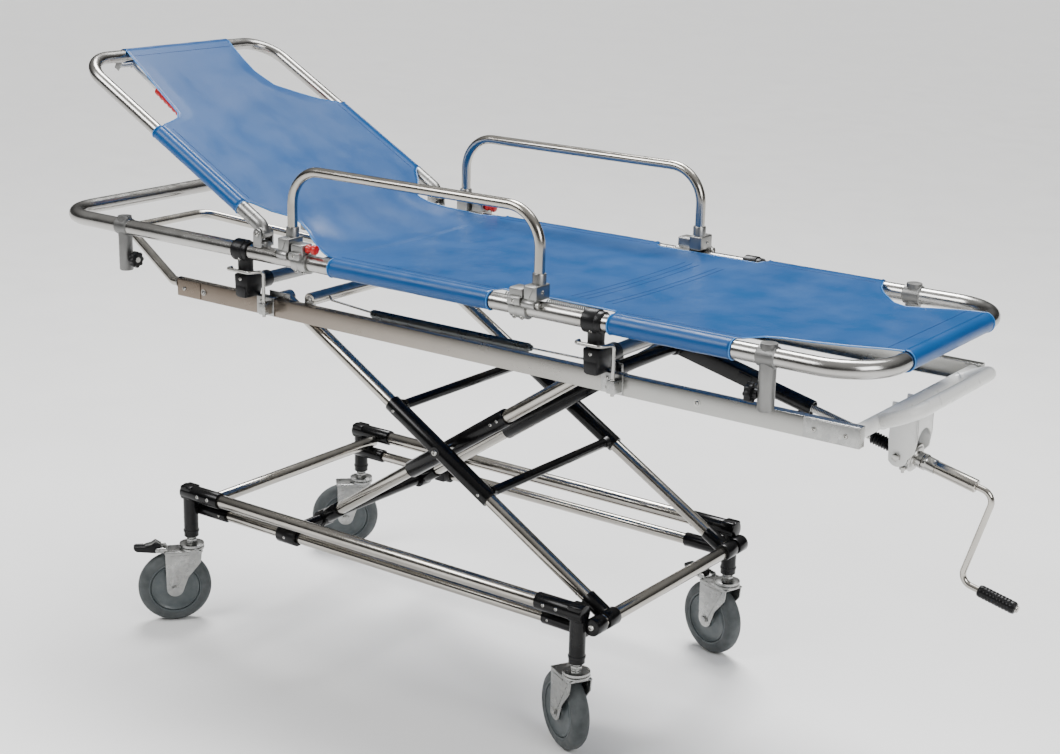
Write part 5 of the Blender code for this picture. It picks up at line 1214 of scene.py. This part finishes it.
def edges_and_seams():
    """Piping round the cut edges, stitches beside the sleeves and the cross seams of the seat."""
    def sampled(start, end, t, pitch=0.0055):
        """Canvas points at an even pitch along a run."""
        count = max(2, int(abs(end - start) / pitch))
        return [canvas_point(start + (end - start) * step / count, t) for step in range(count + 1)]

    edging = []
    for side in (NEAR, FAR):
        runs = [TOTAL_RUN * step / 340 for step in range(341)]
        row = []
        for run in runs:
            if canvas_spot(run, side)[2] < 0.261:
                row.append(canvas_point(run, side)[0])
            elif len(row) > 2:
                edging.append(("piping", cord(row, 0.0013)))
                row = []
            else:
                row = []
        if len(row) > 2:
            edging.append(("piping", cord(row, 0.0013)))
    trim = piece("canvas_piping", None, edging)
    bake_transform(trim)

    seat, back = [], []
    for side in (NEAR, FAR):
        for x0, x1 in ((-0.085, 0.281), (0.534, 0.765)):
            seat += row_of_stitches(sampled(FOOT_X - x1, FOOT_X - x0, side * 0.915), 0.0009)
            for x in (x0 - 0.0005, x1 + 0.0015):
                ring = [Vector((x, side * TUBE_Y, TUBE_Z)) + Vector((0, math.sin(a), math.cos(a))) * 0.0175
                        for a in [math.radians(side * d) for d in range(0, 237, 8)]]
                seat.append(("piping", cord(ring, 0.0011)))
        base = SEAT_RUN + HIP_RUN - 0.030
        back += row_of_stitches(sampled(base + 0.074, base + 0.308, side * 0.925), 0.0009)
        for v in (0.0695, 0.3225 if side == NEAR else 0.3125):
            ring = [back_tube_spot(side, v) + (OVER * math.cos(a) + Vector((0, side, 0)) * math.sin(a)) * 0.0145
                    for a in [math.radians(d) for d in range(0, 237, 8)]]
            back.append(("piping", cord(ring, 0.0011)))
    for x in (0.402, 0.418, 0.434, 0.472, 0.486):
        row = [canvas_point(FOOT_X - x - 0.004 * step / 40, -0.82 + 1.50 * step / 80) for step in range(81)]
        seat += row_of_stitches(row, 0.0008)
    for y in (-0.152, 0.164):
        ring = [Vector((FOOT_X, y, TUBE_Z)) + Vector((math.sin(a), 0, math.cos(a))) * 0.0175
                for a in [math.radians(d) for d in range(0, 236, 8)]]
        seat.append(("piping", cord(ring, 0.0011)))
    seat += row_of_stitches([canvas_point(0.030, -0.96 + 1.92 * step / 58) for step in range(59)], 0.0008)
    back += row_of_stitches([canvas_point(TOTAL_RUN - 0.022, -0.95 + 1.90 * step / 52) for step in range(53)],
                            0.0008)
    piece("seat_stitching", "stretcher", seat, ())
    piece("back_stitching", "backrest", back, ())

    for side in (NEAR, FAR):
        parts = [("spring",
                  helix((x0, side * 0.2470, 0.8205), 0.0054, x1 - x0, int((x1 - x0) / 0.0042), 0.0012))
                 for x0, x1 in ((0.300, 0.328), (0.388, 0.478))]
        piece(f"tension_coil_{SIDE[side]}", "stretcher", parts, ())


# ---------------------------------------------------------------- room, light and camera
def studio():
    """Pale floor, soft room and four lights."""
    bpy.ops.mesh.primitive_plane_add(size=40)
    floor = bpy.context.object
    floor.name = "studio_floor"
    floor.data.materials.append(floor_paint())

    world = bpy.data.worlds.new("studio_air")
    bpy.context.scene.world = world
    world.use_nodes = True
    nodes, links = world.node_tree.nodes, world.node_tree.links
    room = nodes["Background"]
    sky = nodes.new("ShaderNodeTexCoord")
    split = nodes.new("ShaderNodeSeparateXYZ")
    links.new(sky.outputs["Generated"], split.inputs["Vector"])
    ramp = nodes.new("ShaderNodeValToRGB")
    stops = [(0.0, 0.50), (0.47, 0.40), (0.53, 0.05), (0.64, 0.09), (0.78, 0.42), (1.0, 0.85)]
    while len(ramp.color_ramp.elements) < len(stops):
        ramp.color_ramp.elements.new(0.5)
    for element, (position, level) in zip(ramp.color_ramp.elements, stops):
        element.position = position
        element.color = (level, level * 0.99, level * 0.97, 1.0)
    height = nodes.new("ShaderNodeMapRange")
    height.inputs["From Min"].default_value = -1.0
    links.new(split.outputs["Z"], height.inputs["Value"])
    links.new(height.outputs["Result"], ramp.inputs["Fac"])
    links.new(ramp.outputs["Color"], room.inputs["Color"])
    room.inputs["Strength"].default_value = 0.8
    wall = nodes.new("ShaderNodeBackground")
    wall.inputs["Color"].default_value = (1.0, 1.0, 1.0, 1.0)
    wall.inputs["Strength"].default_value = 1.3
    path, mix = nodes.new("ShaderNodeLightPath"), nodes.new("ShaderNodeMixShader")
    links.new(path.outputs["Is Camera Ray"], mix.inputs["Fac"])
    links.new(room.outputs["Background"], mix.inputs[1])
    links.new(wall.outputs["Background"], mix.inputs[2])
    links.new(mix.outputs["Shader"], nodes["World Output"].inputs["Surface"])

    for name, spot, aim, size, power in (("key", (-1.6, -2.6, 3.4), (0, 0, 0.6), (2.2, 1.4), 110),
                                         ("fill", (3.2, -1.0, 2.2), (0.2, 0, 0.6), (1.6, 1.6), 60),
                                         ("top", (0.0, 1.4, 3.8), (0, 0, 0.6), (3.0, 1.2), 100)):
        light = bpy.data.lights.new(name, "AREA")
        light.shape = "RECTANGLE"
        light.size, light.size_y = size
        light.energy = power
        lamp = bpy.data.objects.new(name, light)
        bpy.context.scene.collection.objects.link(lamp)
        lamp.location = spot
        lamp.rotation_euler = (Vector(aim) - Vector(spot)).to_track_quat("-Z", "Y").to_euler()

    sun = bpy.data.lights.new("even", "SUN")
    sun.energy, sun.angle = 3.2, math.radians(24)
    lamp = bpy.data.objects.new("even", sun)
    bpy.context.scene.collection.objects.link(lamp)
    lamp.rotation_euler = Vector((-0.35, 0.45, 1.0)).to_track_quat("Z", "Y").to_euler()


def camera():
    """The view that the scene is framed for."""
    azimuth, elevation, roll = (math.radians(a) for a in (35.636, 16.395, 1.410))
    back = Vector((math.sin(azimuth) * math.cos(elevation), -math.cos(azimuth) * math.cos(elevation),
                   math.sin(elevation)))
    level = Vector((0, 0, 1)).cross(back).normalized()
    rise = back.cross(level)
    right = level * math.cos(roll) + rise * math.sin(roll)
    top = rise * math.cos(roll) - level * math.sin(roll)
    lens = bpy.data.cameras.new("view")
    lens.lens, lens.sensor_width, lens.sensor_fit = 62.54, 36.0, "HORIZONTAL"
    lens.clip_end = 60.0
    eye = bpy.data.objects.new("view", lens)
    bpy.context.scene.collection.objects.link(eye)
    axes = Matrix((right, top, back)).transposed().to_4x4()
    eye.matrix_world = Matrix.Translation(Vector((2.1501, -2.7533, 1.5878)) + ORIGIN) @ axes
    bpy.context.scene.camera = eye


corner_sockets()
base_tubes()
castors()
scissor()
upper_rails()
springs_and_anchor()
bows()
saddles_and_latches()
jack_and_crank()
stretcher_loops()
star_knobs()
side_rails()
backrest()
canvas()
edges_and_seams()
studio()
camera()
